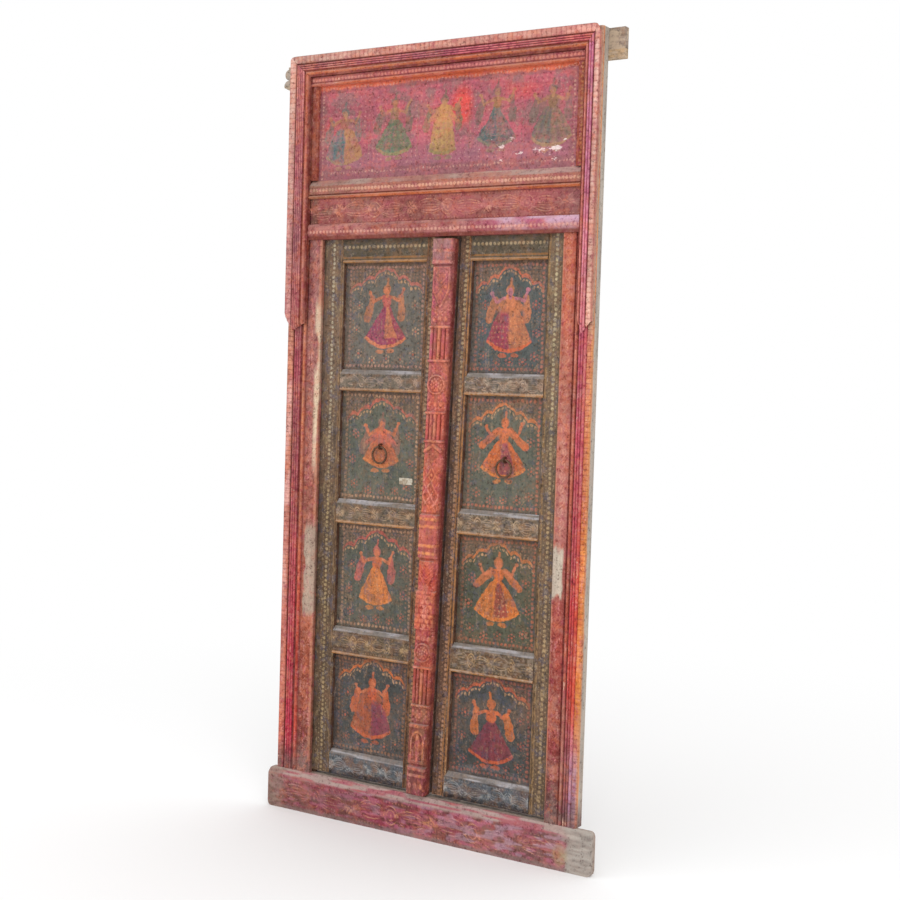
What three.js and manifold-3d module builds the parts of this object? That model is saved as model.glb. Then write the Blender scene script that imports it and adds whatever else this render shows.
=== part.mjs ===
// A painted double door in its carved frame: sill, jambs, head, hood moulding, painted frieze and
// two racked leaves that turn on wooden pivots. Millimetres: +X to the right seen from the front,
// +Y into the doorway, +Z up. y = 0 is the jambs' front until the whole door is centred at the end.
import * as THREE from 'three';
import { mergeVertices } from 'three/addons/utils/BufferGeometryUtils.js';
import Module from 'manifold-3d';

const wasm = await Module();
wasm.setup();

const fitGap = 0.3; // between pieces that are cut or racked to meet each other

// Frame
const totalHeight = 2132;
const jambOuterX = 481;
const openingLeftX = -365;
const openingRightX = 390;
const jambDepth = 34;
const jambLip = 13.5; // thickness of the jamb in front of the leaf's rebate
const leftHoodWidth = 70;
const rightHoodWidth = 42;
const jambTenon = { width: 40, thickness: 14, length: 36, fromFront: 16 };

// Sill
const sillHeight = 113;
const sillLeftX = -503;
const sillRightX = 532;
const sillFrontY = -10;
const sillHornBackY = 13;
const sillBackY = 54;
const sillBodyHalf = 452; // the part behind the horns
const sillCorner = 13;
const sillLip = 19; // height of the worn bevel along the top front edge

// Head
const headBeam = {
  bottom: totalHeight - 91,
  top: totalHeight - 15,
  leftX: -541,
  rightX: 525,
  rise: 11, // how much higher the right horn lies than the left one
  thickness: 20,
  shoulder: 14,
  brokenBack: 15, // how far the broken left end lies behind the tips of its two stubs
  brokenFoot: { along: 45, up: 20 }, // the lower corner that is gone from the left end
};

// Hood moulding
const hoodProud = 19;
const hoodTopWidth = 60;
const hoodCorner = 18;
const leftTip = { outer: 1408, tip: 1366, inner: 1390, tipShare: 0.41 };
const rightTip = { outer: 1398, tip: 1366, inner: 1412, tipShare: 0.62 };

// Heights of the leaves, whose top edge closes behind the transom's lip
const leafBottom = sillHeight + 8;
const leafTop = 1628;
const topOverlap = 7;

// Transom, frieze and lintel moulding, stacked upwards from the opening
const transomBottom = leafTop - topOverlap;
const lintel = { bottom: transomBottom, top: transomBottom + 43, frontY: -9 };
const bandBottom = lintel.top;
const bandThickness = 5;
const midRail = { bottom: bandBottom + 71, top: bandBottom + 122, frontY: -6, ridgeY: -12 };
const transomTop = midRail.bottom + 7;
const friezeFaceY = 8;
const friezeBoard = 12;
const friezeTop = totalHeight - hoodTopWidth - 1;
const topRail = { bottom: friezeTop - 25, top: friezeTop, frontY: -5, ridgeY: -10 };
const friezeStileWidth = 21;

// Leaves
const leafFrontY = 17;
const leafThickness = 24;
const pivotInset = 2; // from the jamb's inner edge back to the pivot axis
const pinRadius = 8;
const pinRunning = 1;
const bottomPin = 32;
const topPin = 36;
const socketFloor = 2;
const panelRecess = 13;
const panelThickness = 8;
const grooveDepth = 6;
const tenonLength = 30;
const tenonShoulder = 10;
const railBevelHeight = 12;
const railBevelDepth = 10;
const edgeRidge = { width: 7, rise: 3 };
const rackSlope = 0.028; // sideways lean of the meeting edges per unit of height
const rackMiddleZ = 930;
const rackStart = 20; // the leaf stays square this close to its pivot
const rails = [
  { name: 'bottom_rail', bottom: leafBottom, top: leafBottom + 69 },
  { name: 'lower_rail', bottom: 463, top: 540 },
  { name: 'lock_rail', bottom: 833, top: 900 },
  { name: 'upper_rail', bottom: 1203, top: 1262 },
  { name: 'top_rail', bottom: leafTop - 72, top: leafTop },
];
const leftLeaf = { name: 'left', towards: 1, panelStart: 65, panelEnd: 325, meetingEdge: 419 };
const rightLeaf = { name: 'right', towards: -1, panelStart: 54, panelEnd: 292, meetingEdge: 332 };

// Centre post, measured from its own middle line and from the leaf's face
const postWidth = 61;
const postEdge = 18;
const postCrown = 25;
const postBlock = 30;
const postBottom = leafBottom - 2;
const postTop = transomBottom - 8;

// Ring pulls and the patch plate
const ringRadius = 23;
const ringWire = 3;
const stapleWire = 2.5;
const stapleLoop = 6;
const stapleStand = 10; // from the panel's face to the middle of the loop
const leftRing = { x: -168, z: 1052 };
const rightRing = { x: 226, z: 1037 };
const patchPlate = { x: -83, z: 961, width: 43, height: 18, thickness: 1.5 };

const wood = new THREE.MeshStandardMaterial({ color: 0x8d3f38, roughness: 0.8 });
const darkWood = new THREE.MeshStandardMaterial({ color: 0x46483c, roughness: 0.8 });
const bareWood = new THREE.MeshStandardMaterial({ color: 0x8a6a4c, roughness: 0.85 });
const iron = new THREE.MeshStandardMaterial({ color: 0x4a3a30, roughness: 0.6, metalness: 0.8 });

const group = new THREE.Group();
group.name = 'painted_door';

// Turns a closed three.js geometry into a solid.
function solid(geometry) {
  const plain = geometry.clone();
  plain.deleteAttribute('normal');
  plain.deleteAttribute('uv');
  const merged = mergeVertices(plain, 1e-4);
  const vertProperties = new Float32Array(merged.attributes.position.array);
  const triVerts = new Uint32Array(merged.index.array);
  return new wasm.Manifold(new wasm.Mesh({ numProp: 3, vertProperties, triVerts }));
}

// Adds a named mesh, moving each corner with place if it is given.
function addPiece(name, piece, material, place) {
  const { numProp, vertProperties, triVerts } = piece.getMesh();
  const positions = [];
  for (let i = 0; i < vertProperties.length; i += numProp) {
    const corner = [vertProperties[i], vertProperties[i + 1], vertProperties[i + 2]];
    positions.push(...(place ? place(corner) : corner));
  }
  const geometry = new THREE.BufferGeometry();
  geometry.setAttribute('position', new THREE.Float32BufferAttribute(positions, 3));
  geometry.setIndex(Array.from(triVerts));
  geometry.computeVertexNormals();
  const mesh = new THREE.Mesh(geometry, material);
  mesh.name = name;
  group.add(mesh);
}

function box(x0, x1, y0, y1, z0, z1) {
  const geometry = new THREE.BoxGeometry(Math.abs(x1 - x0), y1 - y0, z1 - z0);
  geometry.translate((x0 + x1) / 2, (y0 + y1) / 2, (z0 + z1) / 2);
  return solid(geometry);
}

function extruded(points, depth) {
  const shape = new THREE.Shape(points.map(([u, v]) => new THREE.Vector2(u, v)));
  return new THREE.ExtrudeGeometry(shape, { depth, bevelEnabled: false });
}

// A plan (x, y) carried upwards.
function upright(points, z0, z1) {
  return solid(extruded(points, z1 - z0).translate(0, 0, z0));
}

// A side section (y, z) carried from left to right.
function lengthwise(points, x0, x1) {
  const turn = new THREE.Matrix4().set(0, 0, 1, x0, 1, 0, 0, 0, 0, 1, 0, 0, 0, 0, 0, 1);
  return solid(extruded(points, x1 - x0).applyMatrix4(turn));
}

// A front outline (x, z) carried from y0 back to y1.
function through(points, y0, y1) {
  return solid(extruded(points, y1 - y0).rotateX(Math.PI / 2).translate(0, y1, 0));
}

function standingRod(x, y, radius, z0, z1, sides) {
  const geometry = new THREE.CylinderGeometry(radius, radius, z1 - z0, sides);
  geometry.rotateX(Math.PI / 2).translate(x, y, (z0 + z1) / 2);
  return solid(geometry);
}

function facingDisc(x, z, radius, y0, y1, sides) {
  const geometry = new THREE.CylinderGeometry(radius, radius, y1 - y0, sides);
  geometry.translate(x, (y0 + y1) / 2, z);
  return solid(geometry);
}

function oval(x, z, halfWidth, halfHeight, sides) {
  const points = [];
  for (let i = 0; i < sides; i += 1) {
    const turn = (2 * Math.PI * i) / sides;
    points.push([x + halfWidth * Math.cos(turn), z + halfHeight * Math.sin(turn)]);
  }
  return points;
}

function diamond(x, z, halfWidth, halfHeight) {
  return oval(x, z, halfWidth, halfHeight, 4);
}

// Points (distance across, depth behind the front) of a moulded face. Each member is a form, its
// width, how far back its base lies, and how many times it repeats within that width.
function mouldedFace(members) {
  const points = [];
  let across = 0;
  for (const [form, width, base, count = 1] of members) {
    const step = width / count;
    for (let i = 0; i < count; i += 1) {
      if (form === 'round') {
        for (let k = 0; k <= 4; k += 1) {
          const turn = (Math.PI * k) / 4;
          points.push([across + (step * (1 - Math.cos(turn))) / 2, base * (1 - Math.sin(turn))]);
        }
      }
      if (form === 'ridge') {
        points.push([across, base], [across + step / 2, 0], [across + step, base]);
      }
      if (form === 'flat') {
        points.push([across, base], [across + step, base]);
      }
      across += step;
    }
  }
  return points;
}

// Sill: a face board with horns, thickened behind and between the jambs.
function makeSill() {
  const bevelled = [
    [sillFrontY, 0],
    [sillFrontY, sillHeight - sillLip],
    [0, sillHeight],
    [sillHornBackY, sillHeight],
    [sillHornBackY, 0],
  ];
  const outline = [];
  const corners = [
    [sillRightX - sillCorner, sillCorner, 270],
    [sillRightX - sillCorner, sillHeight - sillCorner, 0],
    [sillLeftX + sillCorner, sillHeight - sillCorner, 90],
    [sillLeftX + sillCorner, sillCorner, 180],
  ];
  for (const [x, z, start] of corners) {
    for (let k = 0; k <= 4; k += 1) {
      const turn = ((start + 22.5 * k) * Math.PI) / 180;
      outline.push([x + sillCorner * Math.cos(turn), z + sillCorner * Math.sin(turn)]);
    }
  }
  let sill = lengthwise(bevelled, sillLeftX, sillRightX);
  sill = sill.intersect(through(outline, sillFrontY - 1, sillHornBackY + 1));
  sill = sill.add(box(-sillBodyHalf, sillBodyHalf, sillHornBackY - 1, sillBackY, 0, sillHeight));
  for (const pivotX of [pivotLeftX, pivotRightX]) {
    const floor = leafBottom - bottomPin - socketFloor;
    sill = sill.subtract(standingRod(pivotX, pivotY, pinRadius + pinRunning, floor, sillHeight + 1, 24));
  }
  for (const tenonX of [leftTenonX, rightTenonX]) {
    sill = sill.subtract(tenonBlock(tenonX, fitGap));
  }
  const medallions = 9;
  for (let i = 0; i < medallions; i += 1) {
    const x = sillLeftX + 85 + ((sillRightX - sillLeftX - 170) * i) / (medallions - 1);
    sill = sill.add(through(oval(x, 47, 30, 19, 14), sillFrontY - 2.5, sillFrontY + 1));
    sill = sill.add(through(oval(x, 47, 15, 9, 10), sillFrontY - 4, sillFrontY + 1));
    if (i > 0) {
      const between = x - (sillRightX - sillLeftX - 170) / (medallions - 1) / 2;
      sill = sill.add(through(diamond(between, 47, 13, 22), sillFrontY - 2, sillFrontY + 1));
    }
  }
  addPiece('sill', sill, wood);
}

function tenonBlock(x, growth) {
  const { width, thickness, length, fromFront } = jambTenon;
  return box(
    x - width / 2 - growth,
    x + width / 2 + growth,
    fromFront - growth,
    fromFront + thickness + growth,
    sillHeight - length - growth,
    sillHeight + 1,
  );
}

const pivotY = leafFrontY + leafThickness / 2;
const pivotLeftX = openingLeftX - pivotInset;
const pivotRightX = openingRightX + pivotInset;
const rebateLeftX = pivotLeftX - leafThickness / 2 - 4;
const rebateRightX = pivotRightX + leafThickness / 2 + 4;
const leftTenonX = -jambOuterX + 58;
const rightTenonX = jambOuterX - 44;

// Jambs: a moulded front, a rebate for the leaf behind a lip, and a narrower top behind the hood.
function makeJamb(name, side, innerX, rebateX, upperWidth, tenonX, members) {
  const front = mouldedFace(members).map(([across, depth]) => [side * (jambOuterX - across), depth]);
  const plan = [
    ...front,
    [innerX, jambLip],
    [rebateX, jambLip],
    [rebateX, jambDepth],
    [side * jambOuterX, jambDepth],
  ];
  const shoulderX = side * (jambOuterX - upperWidth);
  let jamb = upright(plan, sillHeight, totalHeight - 4);
  jamb = jamb.subtract(
    box(
      Math.min(shoulderX, shoulderX - side * 90),
      Math.max(shoulderX, shoulderX - side * 90),
      -5,
      jambDepth + 1,
      transomBottom,
      totalHeight,
    ),
  );
  const tenon = tenonBlock(tenonX, 0).intersect(box(-600, 600, -5, 60, 0, sillHeight + 0.5));
  addPiece(name, jamb.add(tenon), wood);
}

const friezeLeftX = -jambOuterX + leftHoodWidth + fitGap;
const friezeRightX = jambOuterX - rightHoodWidth - fitGap;

// Transom: the beam over the opening, which holds the upper pivots.
function makeTransom() {
  let transom = box(friezeLeftX, friezeRightX, friezeFaceY, sillBackY - 4, transomBottom, transomTop);
  const lipBack = leafFrontY - 1.5;
  transom = transom.subtract(
    box(rebateLeftX, rebateRightX, lipBack, sillBackY, transomBottom - 1, leafTop + 2),
  );
  for (const pivotX of [pivotLeftX, pivotRightX]) {
    const roof = leafTop + topPin + socketFloor;
    transom = transom.subtract(
      standingRod(pivotX, pivotY, pinRadius + pinRunning, transomBottom - 1, roof, 24),
    );
  }
  addPiece('transom', transom, wood);
}

// Head beam behind the frame, thickened between the jambs. It lies a little askew, and its left
// horn is broken off, with two rounded stubs of wood left.
function makeHeadBeam() {
  const { bottom, top, leftX, rightX, rise, thickness, shoulder, brokenBack, brokenFoot } = headBeam;
  const front = jambDepth + fitGap;
  const back = front + thickness;
  const lift = (x) => (rise * (x - leftX)) / (rightX - leftX);
  const length = (x0, x1, y0, y1) => {
    const outline = [
      [x0, bottom + lift(x0)],
      [x1, bottom + lift(x1)],
      [x1, top + lift(x1)],
      [x0, top + lift(x0)],
    ];
    return through(outline, y0, y1);
  };
  let beam = length(leftX + brokenBack, rightX, front, back);
  beam = beam.add(length(friezeLeftX, friezeRightX, front - shoulder, front + 1));
  const height = top - bottom;
  for (const [share, set] of [[0.72, 3], [0.31, 0]]) {
    const stub = oval(leftX + set + brokenBack, bottom + share * height, brokenBack, 0.2 * height, 16);
    beam = beam.add(through(stub, front, back));
  }
  const corner = [
    [leftX - 1, bottom - 1],
    [leftX + brokenFoot.along, bottom - 1],
    [leftX - 1, bottom + brokenFoot.up],
  ];
  beam = beam.subtract(through(corner, front - 1, back + 1));
  addPiece('head_beam', beam, bareWood);
}

const hoodFrontY = -hoodProud;
const hoodBackY = -fitGap;

// The side members of the hood end in pointed tips and meet the top member on mitres.
function makeHoodSide(name, side, width, tipForm, members) {
  const front = mouldedFace(members).map(([across, depth]) => [
    side * (jambOuterX - across),
    hoodFrontY + depth,
  ]);
  const outerX = side * jambOuterX;
  const innerX = side * (jambOuterX - width);
  const plan = [...front, [innerX, hoodBackY], [outerX, hoodBackY]];
  const cornerZ = totalHeight - hoodTopWidth;
  const tipX = outerX - side * width * tipForm.tipShare;
  const outline = [
    [outerX, tipForm.outer],
    [outerX, totalHeight - fitGap * 2],
    [innerX, cornerZ - fitGap * 2],
    [innerX, tipForm.inner],
    [tipX, tipForm.tip],
  ];
  const member = upright(plan, tipForm.tip, totalHeight);
  const kept = member.intersect(through(outline, hoodFrontY - 1, hoodBackY + 1));
  addPiece(name, kept.intersect(roundedHead()), wood);
}

function makeHoodTop(members) {
  const front = mouldedFace(members).map(([across, depth]) => [hoodFrontY + depth, totalHeight - across]);
  const lowerZ = totalHeight - hoodTopWidth;
  const section = [...front, [hoodBackY, lowerZ], [hoodBackY, totalHeight]];
  const outline = [
    [-jambOuterX, totalHeight],
    [-jambOuterX + leftHoodWidth, lowerZ],
    [jambOuterX - rightHoodWidth, lowerZ],
    [jambOuterX, totalHeight],
  ];
  const member = lengthwise(section, -jambOuterX, jambOuterX);
  const kept = member.intersect(through(outline, hoodFrontY - 1, hoodBackY + 1));
  addPiece('hood_top', kept.intersect(roundedHead()), wood);
}

// Everything below the hood's rounded top corners.
function roundedHead() {
  const outline = [
    [-jambOuterX, 0],
    [jambOuterX, 0],
  ];
  for (const [x, start] of [[jambOuterX - hoodCorner, 0], [-jambOuterX + hoodCorner, 90]]) {
    for (let k = 0; k <= 5; k += 1) {
      const turn = ((start + 18 * k) * Math.PI) / 180;
      outline.push([x + hoodCorner * Math.cos(turn), totalHeight - hoodCorner + hoodCorner * Math.sin(turn)]);
    }
  }
  return through(outline, hoodFrontY - 2, hoodBackY + 2);
}

function makeFrieze() {
  const boardTop = headBeam.top;
  const left = friezeLeftX;
  const right = friezeRightX;
  const backY = friezeFaceY - fitGap;
  const board = box(left, right, friezeFaceY, friezeFaceY + friezeBoard, transomTop + fitGap, boardTop);
  addPiece('frieze_panel', board, wood);

  const topSection = [
    [backY, topRail.top],
    [topRail.frontY, topRail.top],
    [topRail.frontY, topRail.bottom + 8],
    [topRail.ridgeY, topRail.bottom + 3],
    [topRail.frontY, topRail.bottom],
    [backY, topRail.bottom],
  ];
  addPiece('frieze_top_rail', lengthwise(topSection, left, right), wood);

  const middleSection = [
    [backY, midRail.top],
    [midRail.frontY, midRail.top - 16],
    [midRail.frontY, midRail.bottom + 11],
    [midRail.frontY + 3, midRail.bottom + 9],
    [midRail.ridgeY, midRail.bottom + 4],
    [midRail.frontY, midRail.bottom],
    [backY, midRail.bottom],
  ];
  addPiece('frieze_mid_rail', lengthwise(middleSection, left, right), wood);

  for (const [name, x] of [['frieze_stile_left', left], ['frieze_stile_right', right - friezeStileWidth]]) {
    const z0 = midRail.top + fitGap;
    const z1 = topRail.bottom - fitGap;
    addPiece(name, box(x, x + friezeStileWidth, 0, backY, z0, z1), wood);
  }

  const bandFrontY = friezeFaceY - bandThickness;
  let band = box(left, right, bandFrontY, backY, bandBottom + fitGap, midRail.bottom - fitGap);
  const bandMiddle = (bandBottom + midRail.bottom) / 2;
  const eyes = 7;
  for (let i = 0; i < eyes; i += 1) {
    const x = left + 62 + ((right - left - 124) * i) / (eyes - 1);
    band = band.add(through(oval(x, bandMiddle, 36, 21, 14), bandFrontY - 2.5, bandFrontY + 1));
    band = band.add(through(oval(x, bandMiddle, 18, 10, 10), bandFrontY - 4, bandFrontY + 1));
    if (i > 0) {
      const between = x - (right - left - 124) / (eyes - 1) / 2;
      band = band.add(through(diamond(between, bandMiddle, 15, 18), bandFrontY - 2, bandFrontY + 1));
    }
  }
  addPiece('frieze_band', band, wood);

  const lintelSection = [
    [backY, lintel.top],
    [lintel.frontY + 6, lintel.top],
    [lintel.frontY, lintel.top - 8],
    [lintel.frontY, lintel.bottom + 12],
    [lintel.frontY + 5, lintel.bottom + 7],
    [lintel.frontY + 5, lintel.bottom],
    [backY, lintel.bottom],
  ];
  addPiece('lintel_moulding', lengthwise(lintelSection, left, right), wood);
}

const leafBackY = leafFrontY + leafThickness;
const panelFrontY = leafFrontY + panelRecess;
const panelBackY = panelFrontY + panelThickness;

function pivotOf(leaf) {
  return leaf.towards > 0 ? pivotLeftX : pivotRightX;
}

// The leaf's sideways lean: none at the pivot, growing evenly to the meeting edge.
function rackOf(leaf) {
  const pivotX = pivotOf(leaf);
  return ([x, y, z]) => {
    const across = (x - pivotX) * leaf.towards;
    const share = Math.max(0, (across - rackStart) / (leaf.meetingEdge - rackStart));
    return [x + rackSlope * (z - rackMiddleZ) * share, y, z];
  };
}

// A box in the leaf's own terms: a0 to a1 is measured from the pivot towards the meeting edge.
function leafBox(leaf, a0, a1, y0, y1, z0, z1) {
  const pivotX = pivotOf(leaf);
  const x0 = pivotX + leaf.towards * a0;
  const x1 = pivotX + leaf.towards * a1;
  return box(Math.min(x0, x1), Math.max(x0, x1), y0, y1, z0, z1);
}

function tenon(leaf, a0, a1, rail, growth) {
  return leafBox(
    leaf,
    a0 - growth,
    a1 + growth,
    panelFrontY - growth,
    panelBackY + growth,
    rail.bottom + tenonShoulder - growth,
    rail.top - tenonShoulder - railBevelHeight + growth,
  );
}

function panelGroove(leaf, a0, a1, z0, z1) {
  return leafBox(leaf, a0, a1, panelFrontY - 0.4, panelBackY + 0.4, z0, z1);
}

// The raised arris of a stile stops below the transom's lip.
function belowLip(leaf, stile) {
  return stile.subtract(
    leafBox(leaf, -40, leaf.meetingEdge + 10, leafFrontY - 5, leafFrontY, transomBottom - 2, leafTop + 1),
  );
}

function makeHingeStile(leaf) {
  const pivotX = pivotOf(leaf);
  const radius = leafThickness / 2;
  const plan = [];
  for (let k = 0; k <= 10; k += 1) {
    const turn = ((90 + 18 * k) * Math.PI) / 180;
    plan.push([pivotX + leaf.towards * radius * Math.cos(turn), pivotY + radius * Math.sin(turn)]);
  }
  const inner = pivotX + leaf.towards * leaf.panelStart;
  const ridgeOuter = inner - leaf.towards * edgeRidge.width;
  plan.push([ridgeOuter, leafFrontY]);
  plan.push([(ridgeOuter + inner) / 2, leafFrontY - edgeRidge.rise]);
  plan.push([inner, leafFrontY], [inner, leafBackY]);
  let stile = upright(plan, leafBottom, leafTop);
  stile = stile.add(standingRod(pivotX, pivotY, pinRadius, leafBottom - bottomPin, leafBottom + 1, 24));
  stile = stile.add(standingRod(pivotX, pivotY, pinRadius, leafTop - 1, leafTop + topPin, 24));
  stile = stile.subtract(
    panelGroove(leaf, leaf.panelStart - grooveDepth, leaf.panelStart + 1, leafBottom + 40, leafTop - 47),
  );
  for (const rail of rails) {
    stile = stile.subtract(tenon(leaf, leaf.panelStart - tenonLength, leaf.panelStart + 1, rail, fitGap));
  }
  addPiece(leaf.name + '_hinge_stile', belowLip(leaf, stile), darkWood, rackOf(leaf));
}

function makeMeetingStile(leaf) {
  const pivotX = pivotOf(leaf);
  const inner = pivotX + leaf.towards * leaf.panelEnd;
  const outer = pivotX + leaf.towards * leaf.meetingEdge;
  const ridgeOuter = inner + leaf.towards * edgeRidge.width;
  const plan = [
    [inner, leafBackY],
    [inner, leafFrontY],
    [(ridgeOuter + inner) / 2, leafFrontY - edgeRidge.rise],
    [ridgeOuter, leafFrontY],
    [outer, leafFrontY],
    [outer, leafBackY],
  ];
  let stile = upright(plan, leafBottom, leafTop);
  stile = stile.subtract(
    panelGroove(leaf, leaf.panelEnd - 1, leaf.panelEnd + grooveDepth, leafBottom + 40, leafTop - 47),
  );
  for (const rail of rails) {
    stile = stile.subtract(tenon(leaf, leaf.panelEnd - 1, leaf.panelEnd + tenonLength, rail, fitGap));
  }
  addPiece(leaf.name + '_meeting_stile', belowLip(leaf, stile), darkWood, rackOf(leaf));
}

// Rails: a ridge along the lower edge, a bevel that gathers dust along the upper one, low carving.
function makeRails(leaf) {
  const pivotX = pivotOf(leaf);
  const from = leaf.panelStart + fitGap;
  const to = leaf.panelEnd - fitGap;
  const ends = [pivotX + leaf.towards * from, pivotX + leaf.towards * to];
  rails.forEach((rail, index) => {
    const first = index === 0;
    const last = index === rails.length - 1;
    const section = [[leafBackY, rail.bottom]];
    if (first) {
      section.push([leafFrontY, rail.bottom]);
    } else {
      section.push([leafFrontY, rail.bottom]);
      section.push([leafFrontY - edgeRidge.rise, rail.bottom + edgeRidge.width / 2]);
      section.push([leafFrontY, rail.bottom + edgeRidge.width]);
    }
    if (last) {
      section.push([leafFrontY, rail.top]);
    } else {
      section.push([leafFrontY, rail.top - railBevelHeight]);
      section.push([leafFrontY + railBevelDepth, rail.top]);
    }
    section.push([leafBackY, rail.top]);
    let piece = lengthwise(section, Math.min(...ends), Math.max(...ends));
    piece = piece.add(tenon(leaf, leaf.panelStart - tenonLength + 1, from + 1, rail, 0));
    piece = piece.add(tenon(leaf, to - 1, leaf.panelEnd + tenonLength - 1, rail, 0));
    if (!first) {
      piece = piece.subtract(panelGroove(leaf, from - 1, to + 1, rail.bottom - 1, rail.bottom + grooveDepth));
    }
    if (!last) {
      piece = piece.subtract(panelGroove(leaf, from - 1, to + 1, rail.top - grooveDepth, rail.top + 1));
    }
    if (!last) {
      const low = rail.bottom + (first ? 0 : edgeRidge.width);
      const middleZ = (low + rail.top - railBevelHeight) / 2;
      const middleX = (ends[0] + ends[1]) / 2;
      const reach = (rail.top - railBevelHeight - low) / 2 - 3;
      const carved = [oval(middleX, middleZ, 30, reach, 12)];
      for (const step of [-1, 1]) {
        carved.push(diamond(middleX + step * 50, middleZ, 16, reach * 0.7));
        carved.push(oval(middleX + step * 86, middleZ, 17, reach * 0.8, 8));
      }
      for (const outline of carved) {
        piece = piece.add(through(outline, leafFrontY - 1.5, leafFrontY + 1));
      }
    }
    addPiece(leaf.name + '_' + rail.name, piece, darkWood, rackOf(leaf));
  });
}

// Panels sit in the grooves; the third from the bottom carries the ring's staple.
function makePanels(leaf, ring) {
  const seat = grooveDepth - 0.5;
  for (let i = 0; i + 1 < rails.length; i += 1) {
    let panel = leafBox(
      leaf,
      leaf.panelStart - seat,
      leaf.panelEnd + seat,
      panelFrontY,
      panelBackY,
      rails[i].top - seat,
      rails[i + 1].bottom + seat,
    );
    if (i === 2) {
      for (const leg of [-stapleLoop, stapleLoop]) {
        const hole = facingDisc(ring.x, ring.z + leg, stapleWire + 0.6, panelFrontY - 1, panelBackY + 1, 12);
        panel = panel.subtract(hole);
      }
    }
    addPiece(leaf.name + '_panel_' + (i + 1), panel, darkWood, rackOf(leaf));
  }
}

// The nudge that a small fixed piece takes from the racked board it sits on.
function carriedBy(leaf, x, z) {
  const nudge = rackOf(leaf)([x, 0, z])[0] - x;
  return ([px, py, pz]) => [px + nudge, py, pz];
}

// A staple driven through the panel, and the ring hanging in it.
function makeRingPull(leaf, ring) {
  const loopY = panelFrontY - stapleStand;
  const place = carriedBy(leaf, ring.x, ring.z);
  const eye = new THREE.TorusGeometry(stapleLoop, stapleWire, 10, 20);
  let staple = solid(eye.rotateY(Math.PI / 2).translate(ring.x, loopY, ring.z));
  staple = staple.intersect(box(ring.x - 9, ring.x + 9, loopY - 12, loopY + 0.3, ring.z - 12, ring.z + 12));
  for (const leg of [-stapleLoop, stapleLoop]) {
    staple = staple.add(facingDisc(ring.x, ring.z + leg, stapleWire + 0.1, loopY - 0.5, panelBackY + 3, 12));
  }
  addPiece(leaf.name + '_ring_staple', staple, iron, place);
  const hoop = new THREE.TorusGeometry(ringRadius, ringWire, 8, 30);
  hoop.rotateX(Math.PI / 2).translate(ring.x, loopY, ring.z - ringRadius);
  addPiece(leaf.name + '_ring', solid(hoop), iron, place);
}

function makePatchPlate() {
  const { x, z, width, height, thickness } = patchPlate;
  const front = panelFrontY - fitGap - thickness;
  const outline = [
    [x - width / 2, z - height / 2 + 2],
    [x - width / 2 + 2, z - height / 2],
    [x + width / 2, z - height / 2],
    [x + width / 2, z + height / 2 - 3],
    [x + width / 2 - 3, z + height / 2],
    [x - width / 2, z + height / 2],
  ];
  let plate = through(outline, front, panelFrontY - fitGap);
  for (const end of [-1, 1]) {
    plate = plate.add(facingDisc(x + end * (width / 2 - 6), z, 2.2, front - 1, front + 0.5, 8));
  }
  addPiece('patch_plate', plate, iron, carriedBy(leftLeaf, x, z));
}

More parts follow.
